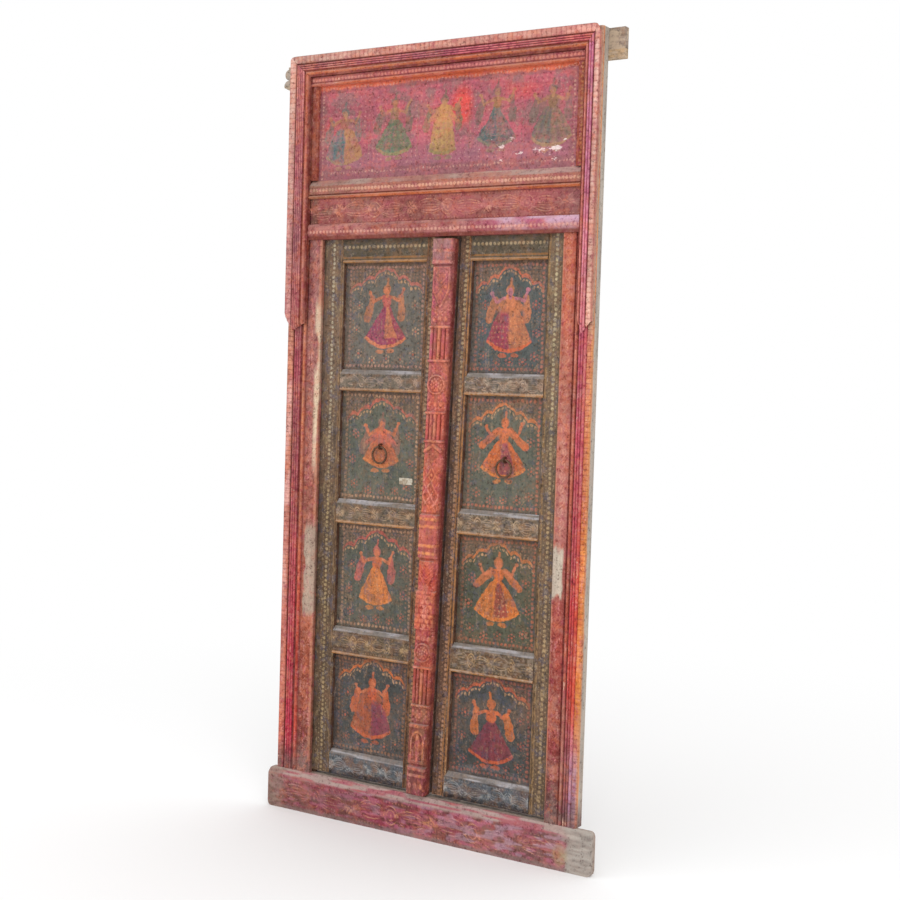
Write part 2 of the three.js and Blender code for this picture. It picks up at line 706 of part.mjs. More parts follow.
// The carved post on the left leaf's meeting stile. Its parts are described by height, by distance
// across from its middle line, and by how far they stand off the leaf.
function makePost() {
  const middle = pivotLeftX + leftLeaf.meetingEdge - postWidth / 2;
  const half = postWidth / 2;
  const back = leafFrontY - fitGap;
  const raised = (outline, stand) =>
    through(
      outline.map(([across, z]) => [middle + across, z]),
      leafFrontY - stand,
      leafFrontY - 12,
    );
  const core = [
    [-half, back],
    [-half, leafFrontY - postEdge],
    [-half * 0.8, leafFrontY - postEdge - 4],
    [-half * 0.4, leafFrontY - postCrown + 1],
    [0, leafFrontY - postCrown],
    [half * 0.4, leafFrontY - postCrown + 1],
    [half * 0.8, leafFrontY - postEdge - 4],
    [half, leafFrontY - postEdge],
    [half, back],
  ].map(([across, y]) => [middle + across, y]);
  let post = upright(core, postBottom, postTop);

  // Square blocks, with half-round bands across them
  const blocks = [
    { bottom: postTop - 67, top: postTop, bands: [postTop - 61, postTop - 31] },
    { bottom: 762, top: 880, bands: [776, 796, 848, 868] },
    { bottom: 203, top: 312, bands: [307] },
    { bottom: postBottom, top: 195, bands: [172, 189] },
  ];
  for (const { bottom, top, bands } of blocks) {
    const section = [
      [-half, back],
      [-half, leafFrontY - postBlock + 4],
      [-half + 4, leafFrontY - postBlock],
      [half - 4, leafFrontY - postBlock],
      [half, leafFrontY - postBlock + 4],
      [half, back],
    ].map(([across, y]) => [middle + across, y]);
    post = post.add(upright(section, bottom, top));
    for (const z of bands) {
      const bandFace = leafFrontY - postBlock;
      const band = [
        [bandFace + 2, z - 5],
        [bandFace - 1.5, z - 2.5],
        [bandFace - 1.5, z + 2.5],
        [bandFace + 2, z + 5],
      ];
      post = post.add(lengthwise(band, middle - half, middle + half));
    }
  }

  // Bundled reeds
  for (const [bottom, top] of [[1294, 1376], [1080, 1148], [366, 462]]) {
    for (const across of [-24, -12, 0, 12, 24]) {
      const stand = postCrown - 2 - Math.abs(across) * 0.12;
      post = post.add(standingRod(middle + across, leafFrontY - stand, 5.8, bottom, top, 8));
    }
    for (const z of [bottom - 4, top + 4]) {
      post = post.add(raised([[-half, z - 4], [half, z - 4], [half, z + 4], [-half, z + 4]], 28));
    }
  }

  // Rosettes
  for (const z of [1227, 506]) {
    post = post.add(raised(oval(0, z, 27, 27, 20), 29));
    post = post.subtract(
      facingDisc(middle, z, 21, leafFrontY - 30, leafFrontY - 26.5, 20).subtract(
        facingDisc(middle, z, 9, leafFrontY - 31, leafFrontY - 25, 12),
      ),
    );
    for (let i = 0; i < 6; i += 1) {
      const turn = (Math.PI * (i + 0.5)) / 3;
      post = post.add(raised(oval(14.5 * Math.cos(turn), z + 14.5 * Math.sin(turn), 4, 4, 6), 28.5));
    }
  }
  for (const z of [1401, 1176, 545]) {
    for (const across of [-17, 0, 17]) {
      post = post.add(raised(oval(across, z, 7, 8, 8), 27.5));
    }
  }

  // Shield, chevron, lozenge field, leaf and scales
  const shieldTop = postTop - 73;
  for (const [halfWidth, top, shoulder, point, stand] of [[26, 0, 62, 114, 28], [16, 10, 56, 90, 30]]) {
    const outline = [
      [-halfWidth, shieldTop - top],
      [-halfWidth, shieldTop - shoulder],
      [0, shieldTop - point],
      [halfWidth, shieldTop - shoulder],
      [halfWidth, shieldTop - top],
    ];
    post = post.add(raised(outline, stand));
  }
  post = post.add(raised([[-28, 1030], [-28, 1046], [0, 1070], [28, 1046], [28, 1030], [0, 1054]], 28.5));
  post = post.add(raised([[-25, 886], [25, 886], [25, 1016], [0, 1038], [-25, 1016]], 27));
  for (const z of [912, 952, 992]) {
    post = post.add(raised(diamond(0, z, 18, 19), 29));
    post = post.subtract(
      through([[-8, z], [0, z - 9], [8, z], [0, z + 9]].map(([a, b]) => [middle + a, b]), -14, leafFrontY - 27),
    );
  }
  post = post.add(raised([[-24, 756], [-22, 716], [0, 676], [22, 716], [24, 756]], 28.5));
  post = post.add(raised([[-12, 750], [-11, 722], [0, 696], [11, 722], [12, 750]], 30.5));
  for (let row = 0; row < 4; row += 1) {
    const z = 572 + row * 26;
    const places = row % 2 === 0 ? [-18, 0, 18] : [-9, 9];
    for (const across of places) {
      post = post.add(raised(oval(across, z + 12, 9.6, 13, 8), 28.2));
    }
  }

  // Arched niche cut into its block
  const niche = [[-17, 212], [17, 212], [17, 262]];
  for (let k = 1; k < 8; k += 1) {
    niche.push([17 * Math.cos((Math.PI * k) / 8), 262 + 26 * Math.sin((Math.PI * k) / 8)]);
  }
  niche.push([-17, 262]);
  const cut = niche.map(([across, z]) => [middle + across, z]);
  post = post.subtract(through(cut, leafFrontY - postBlock - 3, leafFrontY - postBlock + 4));
  post = post.add(raised([[-6, 218], [6, 218], [9, 244], [0, 270], [-9, 244]], 29));
  for (let i = 0; i < 3; i += 1) {
    post = post.add(raised(oval(-18 + 18 * i, 144, 6, 8, 8), 32));
  }
  addPiece('centre_post', post, wood, rackOf(leftLeaf));
}

makeSill();
makeJamb('jamb_left', -1, openingLeftX, rebateLeftX, leftHoodWidth, leftTenonX, [
  ['round', 21, 4],
  ['flat', 4, 6],
  ['round', 23, 4, 3],
  ['flat', 5, 6],
  ['ridge', 12, 5],
  ['flat', 6, 5],
  ['flat', 45, 2],
]);
makeJamb('jamb_right', 1, openingRightX, rebateRightX, rightHoodWidth, rightTenonX, [
  ['round', 16, 4],
  ['round', 10, 4],
  ['round', 14, 4, 2],
  ['flat', 3, 6],
  ['ridge', 9, 5],
  ['flat', 3, 5],
  ['flat', 36, 2],
]);
makeTransom();
makeHeadBeam();
makeHoodSide('hood_left', -1, leftHoodWidth, leftTip, [
  ['round', 22, 4],
  ['flat', 4, 7],
  ['round', 25, 4, 3],
  ['flat', 4, 7],
  ['ridge', 10, 6],
  ['flat', 5, 6],
]);
makeHoodSide('hood_right', 1, rightHoodWidth, rightTip, [
  ['round', 14, 4],
  ['flat', 2, 7],
  ['round', 14, 4, 2],
  ['flat', 2, 7],
  ['ridge', 7, 6],
  ['flat', 3, 6],
]);
makeHoodTop([
  ['round', 22, 4],
  ['flat', 3, 7],
  ['round', 17, 4, 2],
  ['flat', 3, 7],
  ['ridge', 10, 6],
  ['flat', 5, 6],
]);
makeFrieze();
for (const [leaf, ring] of [[leftLeaf, leftRing], [rightLeaf, rightRing]]) {
  makeHingeStile(leaf);
  makeMeetingStile(leaf);
  makeRails(leaf);
  makePanels(leaf, ring);
  makeRingPull(leaf, ring);
}
makePatchPlate();
makePost();

// The origin is under the middle of the whole door.
group.position.x = -(headBeam.leftX + sillRightX) / 2;
group.position.y = -(hoodFrontY + jambDepth + fitGap + headBeam.thickness) / 2;

export default group;
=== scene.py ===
# Looks for the painted door: moulded frame, carved post and rails, painted panels, iron rings, camera.
# Lengths in the piece dictionaries are millimetres, colours are screen values from 0 to 255.
import math
import bmesh
import bpy
import numpy as np
from mathutils import Matrix, Vector


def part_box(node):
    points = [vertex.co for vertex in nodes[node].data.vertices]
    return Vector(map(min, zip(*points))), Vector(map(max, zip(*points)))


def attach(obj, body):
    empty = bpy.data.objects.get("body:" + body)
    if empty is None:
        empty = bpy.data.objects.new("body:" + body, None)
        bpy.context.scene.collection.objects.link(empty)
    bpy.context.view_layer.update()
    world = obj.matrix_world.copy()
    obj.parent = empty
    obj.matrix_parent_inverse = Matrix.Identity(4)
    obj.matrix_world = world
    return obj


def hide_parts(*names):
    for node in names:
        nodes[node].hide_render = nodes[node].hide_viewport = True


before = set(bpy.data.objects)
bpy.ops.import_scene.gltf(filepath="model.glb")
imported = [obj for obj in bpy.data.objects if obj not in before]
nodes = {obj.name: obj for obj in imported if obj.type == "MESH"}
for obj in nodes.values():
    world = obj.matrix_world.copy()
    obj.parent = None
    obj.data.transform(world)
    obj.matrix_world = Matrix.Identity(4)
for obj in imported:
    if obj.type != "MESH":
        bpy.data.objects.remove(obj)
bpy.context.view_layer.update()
print("frame loaded")

mm = 0.001
tau = 2 * math.pi


def linearLight(screen):
    # screen values, 0 to 255, as linear light
    share = np.asarray(screen, float) / 255
    return np.where(share <= 0.04045, share / 12.92, ((share + 0.055) / 1.055) ** 2.4)


def colour(red, green, blue):
    return tuple(linearLight((red, green, blue)).tolist()) + (1.0,)


def coloured(look):
    # the same settings with every screen colour turned into a colour for a shader
    return {key: colour(*value) if isinstance(value, tuple) else value for key, value in look.items()}


def span(node):
    # lowest and highest corner of a frame piece, in metres
    low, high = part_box(node)
    return np.array(low), np.array(high)


def millimetres(node):
    low, high = span(node)
    return low * 1000, high * 1000


def cloud(u, v, seed):
    # smooth random field: lattice values blended with eased weights between the four nearest points
    iu, iv = np.floor(u), np.floor(v)
    fu, fv = u - iu, v - iv
    fu, fv = fu * fu * (3 - 2 * fu), fv * fv * (3 - 2 * fv)

    def lattice(a, b):
        wave = np.sin(a * 127.1 + b * 311.7 + seed * 74.7) * 43758.5453
        return wave - np.floor(wave)

    low = lattice(iu, iv) * (1 - fu) + lattice(iu + 1, iv) * fu
    high = lattice(iu, iv + 1) * (1 - fu) + lattice(iu + 1, iv + 1) * fu
    return low * (1 - fv) + high * fv


def ease(value, low, high):
    # 0 below low, 1 above high, a smooth step between
    t = np.clip((value - low) / (high - low), 0, 1)
    return t * t * (3 - 2 * t)


def lineAt(value, at, core, reach):
    # 1 within core of a line, eased to 0 at reach from it
    return 1 - ease(abs(value - at), core, reach)


def within(value, low, high, soft):
    # 1 between low and high, with eased sides
    return ease(value, low - soft, low + soft) * (1 - ease(value, high - soft, high + soft))


def mixed(mask, low, high):
    return low * (1 - mask) + high * mask


def patchy(u, v, seed, low, high):
    # blotches: the smooth random field, cut between two levels
    return ease(cloud(u, v, seed), low, high)


def blurred(field, reach):
    # box average over reach cells each way, edges held
    out = field
    for axis in (0, 1):
        padded = np.concatenate([np.repeat(out.take([0], axis), reach + 1, axis), out,
                                 np.repeat(out.take([-1], axis), reach, axis)], axis)
        total = np.cumsum(padded, axis)
        n = out.shape[axis]
        upper = total.take(np.arange(n) + 2 * reach + 1, axis)
        lower = total.take(np.arange(n), axis)
        out = (upper - lower) / (2 * reach + 1)
    return out


def blendColours(mask, low, high):
    # low where the mask is 0, high where it is 1
    mask = np.clip(mask, 0, 1)[..., None]
    return np.asarray(low)[..., :4] * (1 - mask) + np.asarray(high)[..., :4] * mask


def coats(paint, *layers):
    # coats of paint one over another, each where its mask says: (mask, colour)
    for mask, over in layers:
        paint = blendColours(mask, paint, over)
    return paint


def withCorners(paint, crest, corners, height):
    # adds the unpainted corners behind a carved face: a colour for each, one crest height for all
    rows = len(crest)
    crest = np.concatenate([crest, np.full((rows, len(corners)), height)], 1)
    return np.concatenate([paint, np.tile(corners, (rows, 1, 1))], 1), crest


def tones(position, stops):
    # one colour, or colours met one after another along the length: (place, red, green, blue)
    if isinstance(stops, tuple):
        return np.ones(position.shape + (1,)) * np.array(colour(*stops))
    met = [colour(*stop[1:]) for stop in stops]
    channels = [np.interp(position, [stop[0] for stop in stops], [one[k] for one in met]) for k in range(3)]
    return np.stack(channels + [np.ones(position.shape)], -1)


def loopFaces(stations, around):
    # quads between neighbouring stations of a closed section, and one flat cap at each end
    i = np.arange(stations - 1)[:, None]
    j = np.arange(around)[None, :]
    k = (j + 1) % around
    quads = np.stack([i * around + j, i * around + k, (i + 1) * around + k, (i + 1) * around + j], -1)
    first = np.arange(around)[::-1]
    last = (stations - 1) * around + np.arange(around)
    return quads.reshape(-1, 4), [first.tolist(), last.tolist()]


def makePiece(name, points, body, material, paint, crest, sharp=38, replacing=()):
    # a closed bar from a grid of points (stations, around), turned outwards by the sign of its volume,
    # with its painted colour and crest height kept on its points
    quads, caps = loopFaces(*points.shape[:2])
    vertices = points.reshape(-1, 3)
    a, b, c, d = (vertices[quads[:, k]] for k in range(4))
    faceList = quads.tolist() + caps
    if np.einsum("ij,ij->i", a, np.cross(b, c) + np.cross(c, d)).sum() < 0:
        faceList = [list(reversed(face)) for face in faceList]
    mesh = bpy.data.meshes.new(name)
    mesh.from_pydata(vertices.tolist(), [], faceList)
    for label, kind, key, values in (("paint", "FLOAT_COLOR", "color", paint),
                                     ("crest", "FLOAT", "value", crest)):
        kept = mesh.attributes.new(label, kind, "POINT")
        kept.data.foreach_set(key, np.ascontiguousarray(values, np.float32).reshape(-1))
    mesh.shade_smooth()
    mesh.set_sharp_from_angle(angle=math.radians(sharp))
    piece = bpy.data.objects.new(name, mesh)
    bpy.context.scene.collection.objects.link(piece)
    mesh.materials.append(material)
    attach(piece, body)
    if replacing:
        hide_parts(*replacing)


class Field:
    # a value inside a node tree that can be used like a number
    def __init__(self, tree, socket):
        self.tree = tree
        self.socket = socket

    def op(self, operation, *others, clamp=False):
        node = self.tree.nodes.new("ShaderNodeMath")
        node.operation = operation
        node.use_clamp = clamp
        for slotIn, value in zip(node.inputs, (self, *others)):
            feed(slotIn, value)
        return Field(self.tree, node.outputs[0])

    def __add__(self, other):
        return self.op("ADD", other)

    def __sub__(self, other):
        return self.op("SUBTRACT", other)

    def __mul__(self, other):
        return self.op("MULTIPLY", other)

    def __truediv__(self, other):
        return self.op("DIVIDE", other)


def feed(slotIn, value):
    if isinstance(value, Field):
        value.tree.links.new(value.socket, slotIn)
    elif value is not None:
        slotIn.default_value = value


def step(value, low, high):
    # smooth mask: 0 at low, 1 at high
    node = value.tree.nodes.new("ShaderNodeMapRange")
    node.interpolation_type = "SMOOTHSTEP"
    for slotIn, given in zip(node.inputs[:3], (value, low, high)):
        feed(slotIn, given)
    return Field(value.tree, node.outputs[0])


def layer(mask, under, over):
    # over painted on under wherever the mask says
    tree = mask.tree
    node = tree.nodes.new("ShaderNodeMix")
    node.data_type = "RGBA"
    feed(node.inputs[0], mask)
    feed(node.inputs[6], under)
    feed(node.inputs[7], over)
    return Field(tree, node.outputs[2])


def layered(surface, *coats):
    # coats laid one over another, each where its mask says: (mask, colour)
    for mask, over in coats:
        surface = layer(mask, surface, over)
    return surface


def tinted(amount, base):
    # a colour made lighter or darker by a number around 1
    node = amount.tree.nodes.new("ShaderNodeVectorMath")
    node.operation = "SCALE"
    feed(node.inputs[0], base)
    feed(node.inputs[3], amount)
    return Field(amount.tree, node.outputs[0])


def noise(vector, scale, detail, rough, bend):
    node = vector.tree.nodes.new("ShaderNodeTexNoise")
    for label, value in (("Vector", vector), ("Scale", scale), ("Detail", detail), ("Roughness", rough),
                         ("Distortion", bend)):
        feed(node.inputs[label], value)
    return node.outputs


def grainAt(vector, scale, detail=3.0, rough=0.55, bend=0.0):
    return Field(vector.tree, noise(vector, scale, detail, rough, bend)["Fac"])


def threeGrains(vector, scale, detail, rough=0.5):
    # three unlike noises out of one texture
    return apart(Field(vector.tree, noise(vector, scale, detail, rough, 0.0)["Color"]))


def vectorOp(operation, vector, other=None):
    node = vector.tree.nodes.new("ShaderNodeVectorMath")
    node.operation = operation
    feed(node.inputs[0], vector)
    feed(node.inputs[1], other)
    return Field(vector.tree, node.outputs["Value" if operation == "LENGTH" else "Vector"])


def stretched(place, *factors):
    return vectorOp("MULTIPLY", place, factors)


def together(tree, x, y, z):
    node = tree.nodes.new("ShaderNodeCombineXYZ")
    for slotIn, value in zip(node.inputs, (x, y, z)):
        feed(slotIn, value)
    return Field(tree, node.outputs[0])


def apart(vector):
    node = vector.tree.nodes.new("ShaderNodeSeparateXYZ")
    feed(node.inputs[0], vector)
    return [Field(vector.tree, out) for out in node.outputs]


def newGroup(name, inputs, outputs):
    # a node group with named sockets; gives its tree and its inputs as fields
    tree = bpy.data.node_groups.new(name, "ShaderNodeTree")
    kinds = {"value": "NodeSocketFloat", "colour": "NodeSocketColor", "vector": "NodeSocketVector"}
    for label, kind, start in inputs:
        made = tree.interface.new_socket(name=label, in_out="INPUT", socket_type=kinds[kind])
        if start is not None:
            made.default_value = start
    for label, kind in outputs:
        tree.interface.new_socket(name=label, in_out="OUTPUT", socket_type=kinds[kind])
    entry = tree.nodes.new("NodeGroupInput")
    tree.nodes.new("NodeGroupOutput")
    return tree, {label: Field(tree, entry.outputs[label]) for label, kind, start in inputs}


def groupOut(tree, **results):
    end = next(n for n in tree.nodes if n.type == "GROUP_OUTPUT")
    for label, value in results.items():
        feed(end.inputs[label], value)


def useGroup(tree, group, **values):
    node = tree.nodes.new("ShaderNodeGroup")
    node.node_tree = group
    for label, value in values.items():
        feed(node.inputs[label], value)
    return {out.name: Field(tree, out) for out in node.outputs}


def disc(x, z, centreX, centreZ, radiusX, radiusZ, soft=0.12):
    # an ellipse with a soft rim
    tree = x.tree
    away = vectorOp("SUBTRACT", together(tree, x, z, 0.0), (centreX, centreZ, 0.0))
    away = vectorOp("DIVIDE", away, (radiusX, radiusZ, 1.0))
    return step(vectorOp("LENGTH", away), 1.0 + soft, 1.0 - soft)


def stroke(x, z, start, end, width, soft=1.2):
    # a straight brush stroke: distance to the line between two points, less half its width
    dx, dz = end[0] - start[0], end[1] - start[1]
    length2 = dx * dx + dz * dz
    px, pz = x - start[0], z - start[1]
    share = (px * dx + pz * dz).op("DIVIDE", length2, clamp=True)
    offX = px - share * dx
    offZ = pz - share * dz
    away = (offX * offX + offZ * offZ).op("SQRT")
    return step(away, width / 2 + soft, max(0.0, width / 2 - soft))


def dotRow(along, across, pitch, radius, soft=1.3):
    # round dots of a given pitch on the line across = 0
    phase = (along / pitch).op("FRACT") - 0.5
    dx = phase * pitch
    away = (dx * dx + across * across).op("SQRT")
    return step(away, radius + soft, radius - soft)


def most(*masks):
    result = masks[0]
    for mask in masks[1:]:
        result = result.op("MAXIMUM", mask)
    return result


# worn distemper on wood: fibres, flecks of older coats, dirt and painted shade in the hollows, chips down to
# the wood
agedPaint, g = newGroup(
    "agedPaint",
    [("Paint", "colour", (0.5, 0.2, 0.2, 1)), ("Crest", "value", 0.5), ("Place", "vector", None),
     ("Stretch", "vector", (8.0, 60.0, 60.0)), ("Under", "colour", colour(196, 176, 150)),
     ("Dirt", "colour", colour(78, 44, 34)), ("Warm", "colour", colour(222, 116, 74)),
     ("Cool", "colour", colour(170, 48, 92)), ("Pale", "colour", colour(232, 160, 146)),
     ("Wear", "value", 0.3), ("Dust", "value", 0.3), ("Fade", "value", 0.3), ("Vary", "value", 0.3)],
    [("Color", "colour"), ("Roughness", "value"), ("Height", "value")])
lengthwise = vectorOp("MULTIPLY", g["Place"], g["Stretch"])
fibres = grainAt(lengthwise, 1.0, 5.0, 0.6, 0.4)
streaks = grainAt(lengthwise, 2.3, 4.0, 0.65)
blotch = grainAt(g["Place"], 7.0, 3.0, 0.6)
patches = grainAt(g["Place"], 26.0, 5.0, 0.65, 0.3)
specks = grainAt(g["Place"], 210.0, 3.0, 0.6)
crumbs = grainAt(g["Place"], 90.0, 4.0, 0.7)
warmth, coolness, paleness = threeGrains(g["Place"], 46.0, 5.0, 0.72)
base = layer(step(warmth * 0.7 + blotch * 0.3, 0.50, 0.58) * g["Vary"], g["Paint"], g["Warm"])
base = layer(step(coolness * 0.7 + streaks * 0.3, 0.51, 0.59) * g["Vary"], base, g["Cool"])
base = layer(step(paleness * 0.3 + streaks * 0.4 + specks * 0.3, 0.535, 0.60) * g["Vary"], base, g["Pale"])
tone = blotch * 0.5 + fibres * 0.8 + specks * 0.5 + crumbs * 0.9
painted = tinted(tone - 0.34, base)
grey = step(blotch * 0.4 + crumbs * 0.6, 0.44, 0.62) * g["Fade"]
painted = layer(grey, painted, colour(170, 138, 124))
# low crests take the dirt-and-shade colour: dirt and painted shade in the hollows and quirks
hollowDirtAndShade = g["Crest"].op("MULTIPLY_ADD", -1.25, 1.0, clamp=True)
painted = layer(hollowDirtAndShade * 0.85, painted, g["Dirt"])
grime = step(crumbs * 0.6 + specks * 0.4, 0.46, 0.36) * 0.6
painted = layer(grime, painted, g["Dirt"])
worn = g["Crest"] * 0.24 + patches * 0.5 + fibres * 0.36 + specks * 0.12
wornMask = step(worn + g["Wear"] * 0.5, 0.84, 0.92)
painted = layer(wornMask, painted, tinted(fibres * 0.5 + 0.75, g["Under"]))
geometry = agedPaint.nodes.new("ShaderNodeNewGeometry")
up = apart(Field(agedPaint, geometry.outputs["Normal"]))[2]
dust = step(up, 0.25, 0.9) * (patches * 0.8 + 0.5).op("MULTIPLY", g["Dust"], clamp=True)
painted = layer(dust, painted, tinted(crumbs + 0.5, colour(168, 158, 150)[:3]))
height = fibres * 0.5 + patches * 0.35 - wornMask * 0.5 + specks * 0.12 + crumbs * 0.2
groupOut(agedPaint, Color=painted, Roughness=(patches * 0.25 + 0.62), Height=height)

# hand painting: the place moved a little by noise so that lines wander, and a mask of paint still there
handDrawn, g = newGroup("handDrawn", [("Place", "vector", None), ("Wander", "value", 2.0)],
                        [("Across", "value"), ("Up", "value"), ("Kept", "value")])
long, short = (threeGrains(g["Place"], scale, 2.0) for scale in (34.0, 150.0))
worn = grainAt(g["Place"], 150.0, 4.0, 0.75)
broad = grainAt(g["Place"], 24.0, 3.0, 0.6)
across, up = (straight * 1000.0 + (long[k] - 0.5) * g["Wander"] * 14.0 + (short[k] - 0.5) * g["Wander"] * 7.0
              for k, straight in enumerate(apart(g["Place"])[::2]))
groupOut(handDrawn, Across=across, Up=up, Kept=step(worn * 0.65 + broad * 0.35, 0.42, 0.55))

# a dancer in painted shapes, in millimetres from the panel's middle, without a face
dancer, g = newGroup(
    "dancer", [("Across", "value", 0.0), ("Up", "value", 0.0), ("Wide", "value", 70.0),
               ("Long", "value", 118.0), ("Bell", "value", 1.0), ("Waist", "value", 34.0)],
    [("Skirt", "value"), ("Pleats", "value"), ("Spots", "value"), ("Hem", "value"), ("Sash", "value"),
     ("Bodice", "value"), ("Shawl", "value"), ("Skin", "value"), ("Veil", "value"), ("Sleeves", "value"),
     ("Feet", "value"), ("Right", "value"), ("Middle", "value")])
x, z = g["Across"], g["Up"] - (g["Waist"] - 34.0)
depth = (z - 34.0) * -1.0
share = (depth / g["Long"]).op("MAXIMUM", 0.001).op("MINIMUM", 1.0)
half = share.op("POWER", g["Bell"]) * (g["Wide"] - 10.0) + 10.0
ratio = x / half
sag = depth + x * x * 0.0056
skirt = step(ratio.op("ABSOLUTE"), 1.05, 0.97) * step(sag - g["Long"], 2.0, -2.0) * step(depth, -1.0, 2.0)
pleats = (ratio * 14.0).op("SINE") * 0.5 + 0.5
spots = dotRow(ratio * 55.0, (depth / 15.0).op("FRACT") * 15.0 - 7.5, 11.0, 2.3)
spots = spots * skirt * step(depth, 22.0, 34.0)
hem = skirt * step(sag - g["Long"], -11.0, -8.0)
sash = step((ratio - 0.26).op("ABSOLUTE"), 0.34, 0.26) * step(depth - g["Long"] * 0.74, 5.0, 0.0)
sash = sash * step(depth, 0.0, 3.0)
middle = step((ratio - 0.16).op("ABSOLUTE"), 0.34, 0.26) * skirt * step(depth, 6.0, 12.0)
bodice = most(disc(x, z, 2.0, 44.0, 15.0, 16.0), disc(x, z, 2.0, 55.0, 21.0, 8.0))
shawl = step(x.op("ABSOLUTE") - (z * -0.95 + 72.0), 2.5, -2.5) * step(z, 10.0, 30.0) * step(z, 70.0, 66.0)
skin = most(disc(x, z, 2.0, 73.0, 9.0, 11.0), stroke(x, z, (3.0, 58.0), (3.0, 66.0), 9.0),
            stroke(x, z, (-16.0, 56.0), (-40.0, 44.0), 9.0), stroke(x, z, (-40.0, 44.0), (-52.0, 64.0), 8.0),
            stroke(x, z, (20.0, 56.0), (42.0, 46.0), 9.0), stroke(x, z, (42.0, 46.0), (54.0, 74.0), 8.0),
            disc(x, z, -53.0, 68.0, 6.0, 5.0), disc(x, z, 56.0, 78.0, 6.0, 5.0))
veil = most(stroke(x, z, (-44.0, 50.0), (-54.0, 22.0), 20.0), stroke(x, z, (-54.0, 24.0), (-60.0, 0.0), 25.0),
            stroke(x, z, (48.0, 56.0), (52.0, 24.0), 20.0), stroke(x, z, (52.0, 24.0), (50.0, 2.0), 25.0))
crown = most(disc(x, z, 2.0, 78.0, 13.0, 14.0), stroke(x, z, (3.0, 88.0), (5.0, 106.0), 7.0))
sleeves = most(stroke(x, z, (-16.0, 56.0), (-64.0, 16.0), 20.0),
               stroke(x, z, (20.0, 56.0), (66.0, 16.0), 20.0), crown)
foot = z + (g["Long"] - 118.0)
feet = most(disc(x, foot, -18.0, -92.0, 13.0, 6.0), disc(x, foot, 18.0, -91.0, 13.0, 6.0))
groupOut(dancer, Skirt=skirt, Pleats=pleats, Spots=spots, Hem=hem, Sash=sash, Bodice=bodice, Shawl=shawl,
         Skin=skin, Veil=most(veil, crown), Sleeves=sleeves, Feet=feet,
         Right=step(ratio, -0.02, 0.08) * skirt, Middle=middle)

# a cusped arch: three foils each side rising to a point, a row of dots beneath it
cuspArch, g = newGroup("cuspArch", [("Across", "value", 0.0), ("Up", "value", 0.0), ("Half", "value", 120.0)],
                       [("Line", "value"), ("Dots", "value"), ("Above", "value")])
side = g["Across"].op("ABSOLUTE")
rise = (side / g["Half"]).op("MULTIPLY_ADD", -56.0, 70.0 + 54.0)
foil = (side / g["Half"] * (3 * math.pi)).op("SINE").op("ABSOLUTE") * 11.0
peak = step(side, 12.0, 0.0) * 8.0
gap = g["Up"] - (rise + foil + peak)
inside = step(side - g["Half"], 2.0, -2.0)
archLine = step(gap.op("ABSOLUTE"), 6.0, 3.2) * inside
archDots = most(dotRow(g["Across"], gap + 12.0, 11.0, 3.7),
                dotRow(g["Across"] + 5.5, gap - 9.5, 11.0, 2.4) * 0.6)
groupOut(cuspArch, Line=archLine, Dots=archDots * inside, Above=step(gap, -2.0, 3.0) * inside)

# a flower of six dots round a middle one
floret, g = newGroup("floret", [("Across", "value", 0.0), ("Up", "value", 0.0)],
                     [("Petals", "value"), ("Heart", "value")])
away = vectorOp("LENGTH", together(floret, g["Across"], g["Up"], 0.0))
around = g["Up"].op("ARCTAN2", g["Across"]) * (6 / tau)
petals = dotRow(around * 10.0, away - 9.5, 10.0, 3.0)
groupOut(floret, Petals=petals, Heart=step(away, 4.6, 2.4))
print("shader groups made")


def startMaterial(name):
    material = bpy.data.materials.new(name)
    material.use_nodes = True
    tree = material.node_tree
    tree.nodes.clear()
    shader = tree.nodes.new("ShaderNodeBsdfPrincipled")
    out = tree.nodes.new("ShaderNodeOutputMaterial")
    tree.links.new(shader.outputs[0], out.inputs[0])
    coords = tree.nodes.new("ShaderNodeTexCoord")
    return material, tree, shader, Field(tree, coords.outputs["Object"])


def finishPaint(tree, shader, place, paint, crest, look, vary=None):
    # the worn surface on top of the painted colours, with its bump
    aged = useGroup(tree, agedPaint, Paint=paint, Crest=crest, Place=place, Stretch=look["stretch"],
                    Under=look["under"], Dirt=look["dirtAndShade"], Wear=look["wear"], Dust=look["dust"],
                    Fade=look["fade"], Warm=look["warm"], Cool=look["cool"], Pale=look["pale"],
                    Vary=look["vary"] if vary is None else vary)
    bump = tree.nodes.new("ShaderNodeBump")
    bump.inputs["Strength"].default_value = look["bump"]
    bump.inputs["Distance"].default_value = 0.0012
    feed(bump.inputs["Height"], aged["Height"])
    feed(shader.inputs["Base Color"], aged["Color"])
    feed(shader.inputs["Roughness"], aged["Roughness"])
    feed(shader.inputs["Normal"], Field(tree, bump.outputs[0]))
    shader.inputs["Specular IOR Level"].default_value = 0.25


def attributeField(tree, name, output):
    node = tree.nodes.new("ShaderNodeAttribute")
    node.attribute_name = name
    return Field(tree, node.outputs[output])


def carvedMaterial(name, look):
    # for pieces whose points carry their own paint and crest
    material, tree, shader, place = startMaterial(name)
    paint = attributeField(tree, "paint", "Color")
    split = tree.nodes.new("ShaderNodeSeparateColor")
    split.mode = "HSV"
    feed(split.inputs[0], paint)
    vary = step(Field(tree, split.outputs[1]), look["greyBelow"], look["greyBelow"] + 0.2) * look["vary"]
    finishPaint(tree, shader, place, paint, attributeField(tree, "crest", "Fac"), look, vary)
    return material


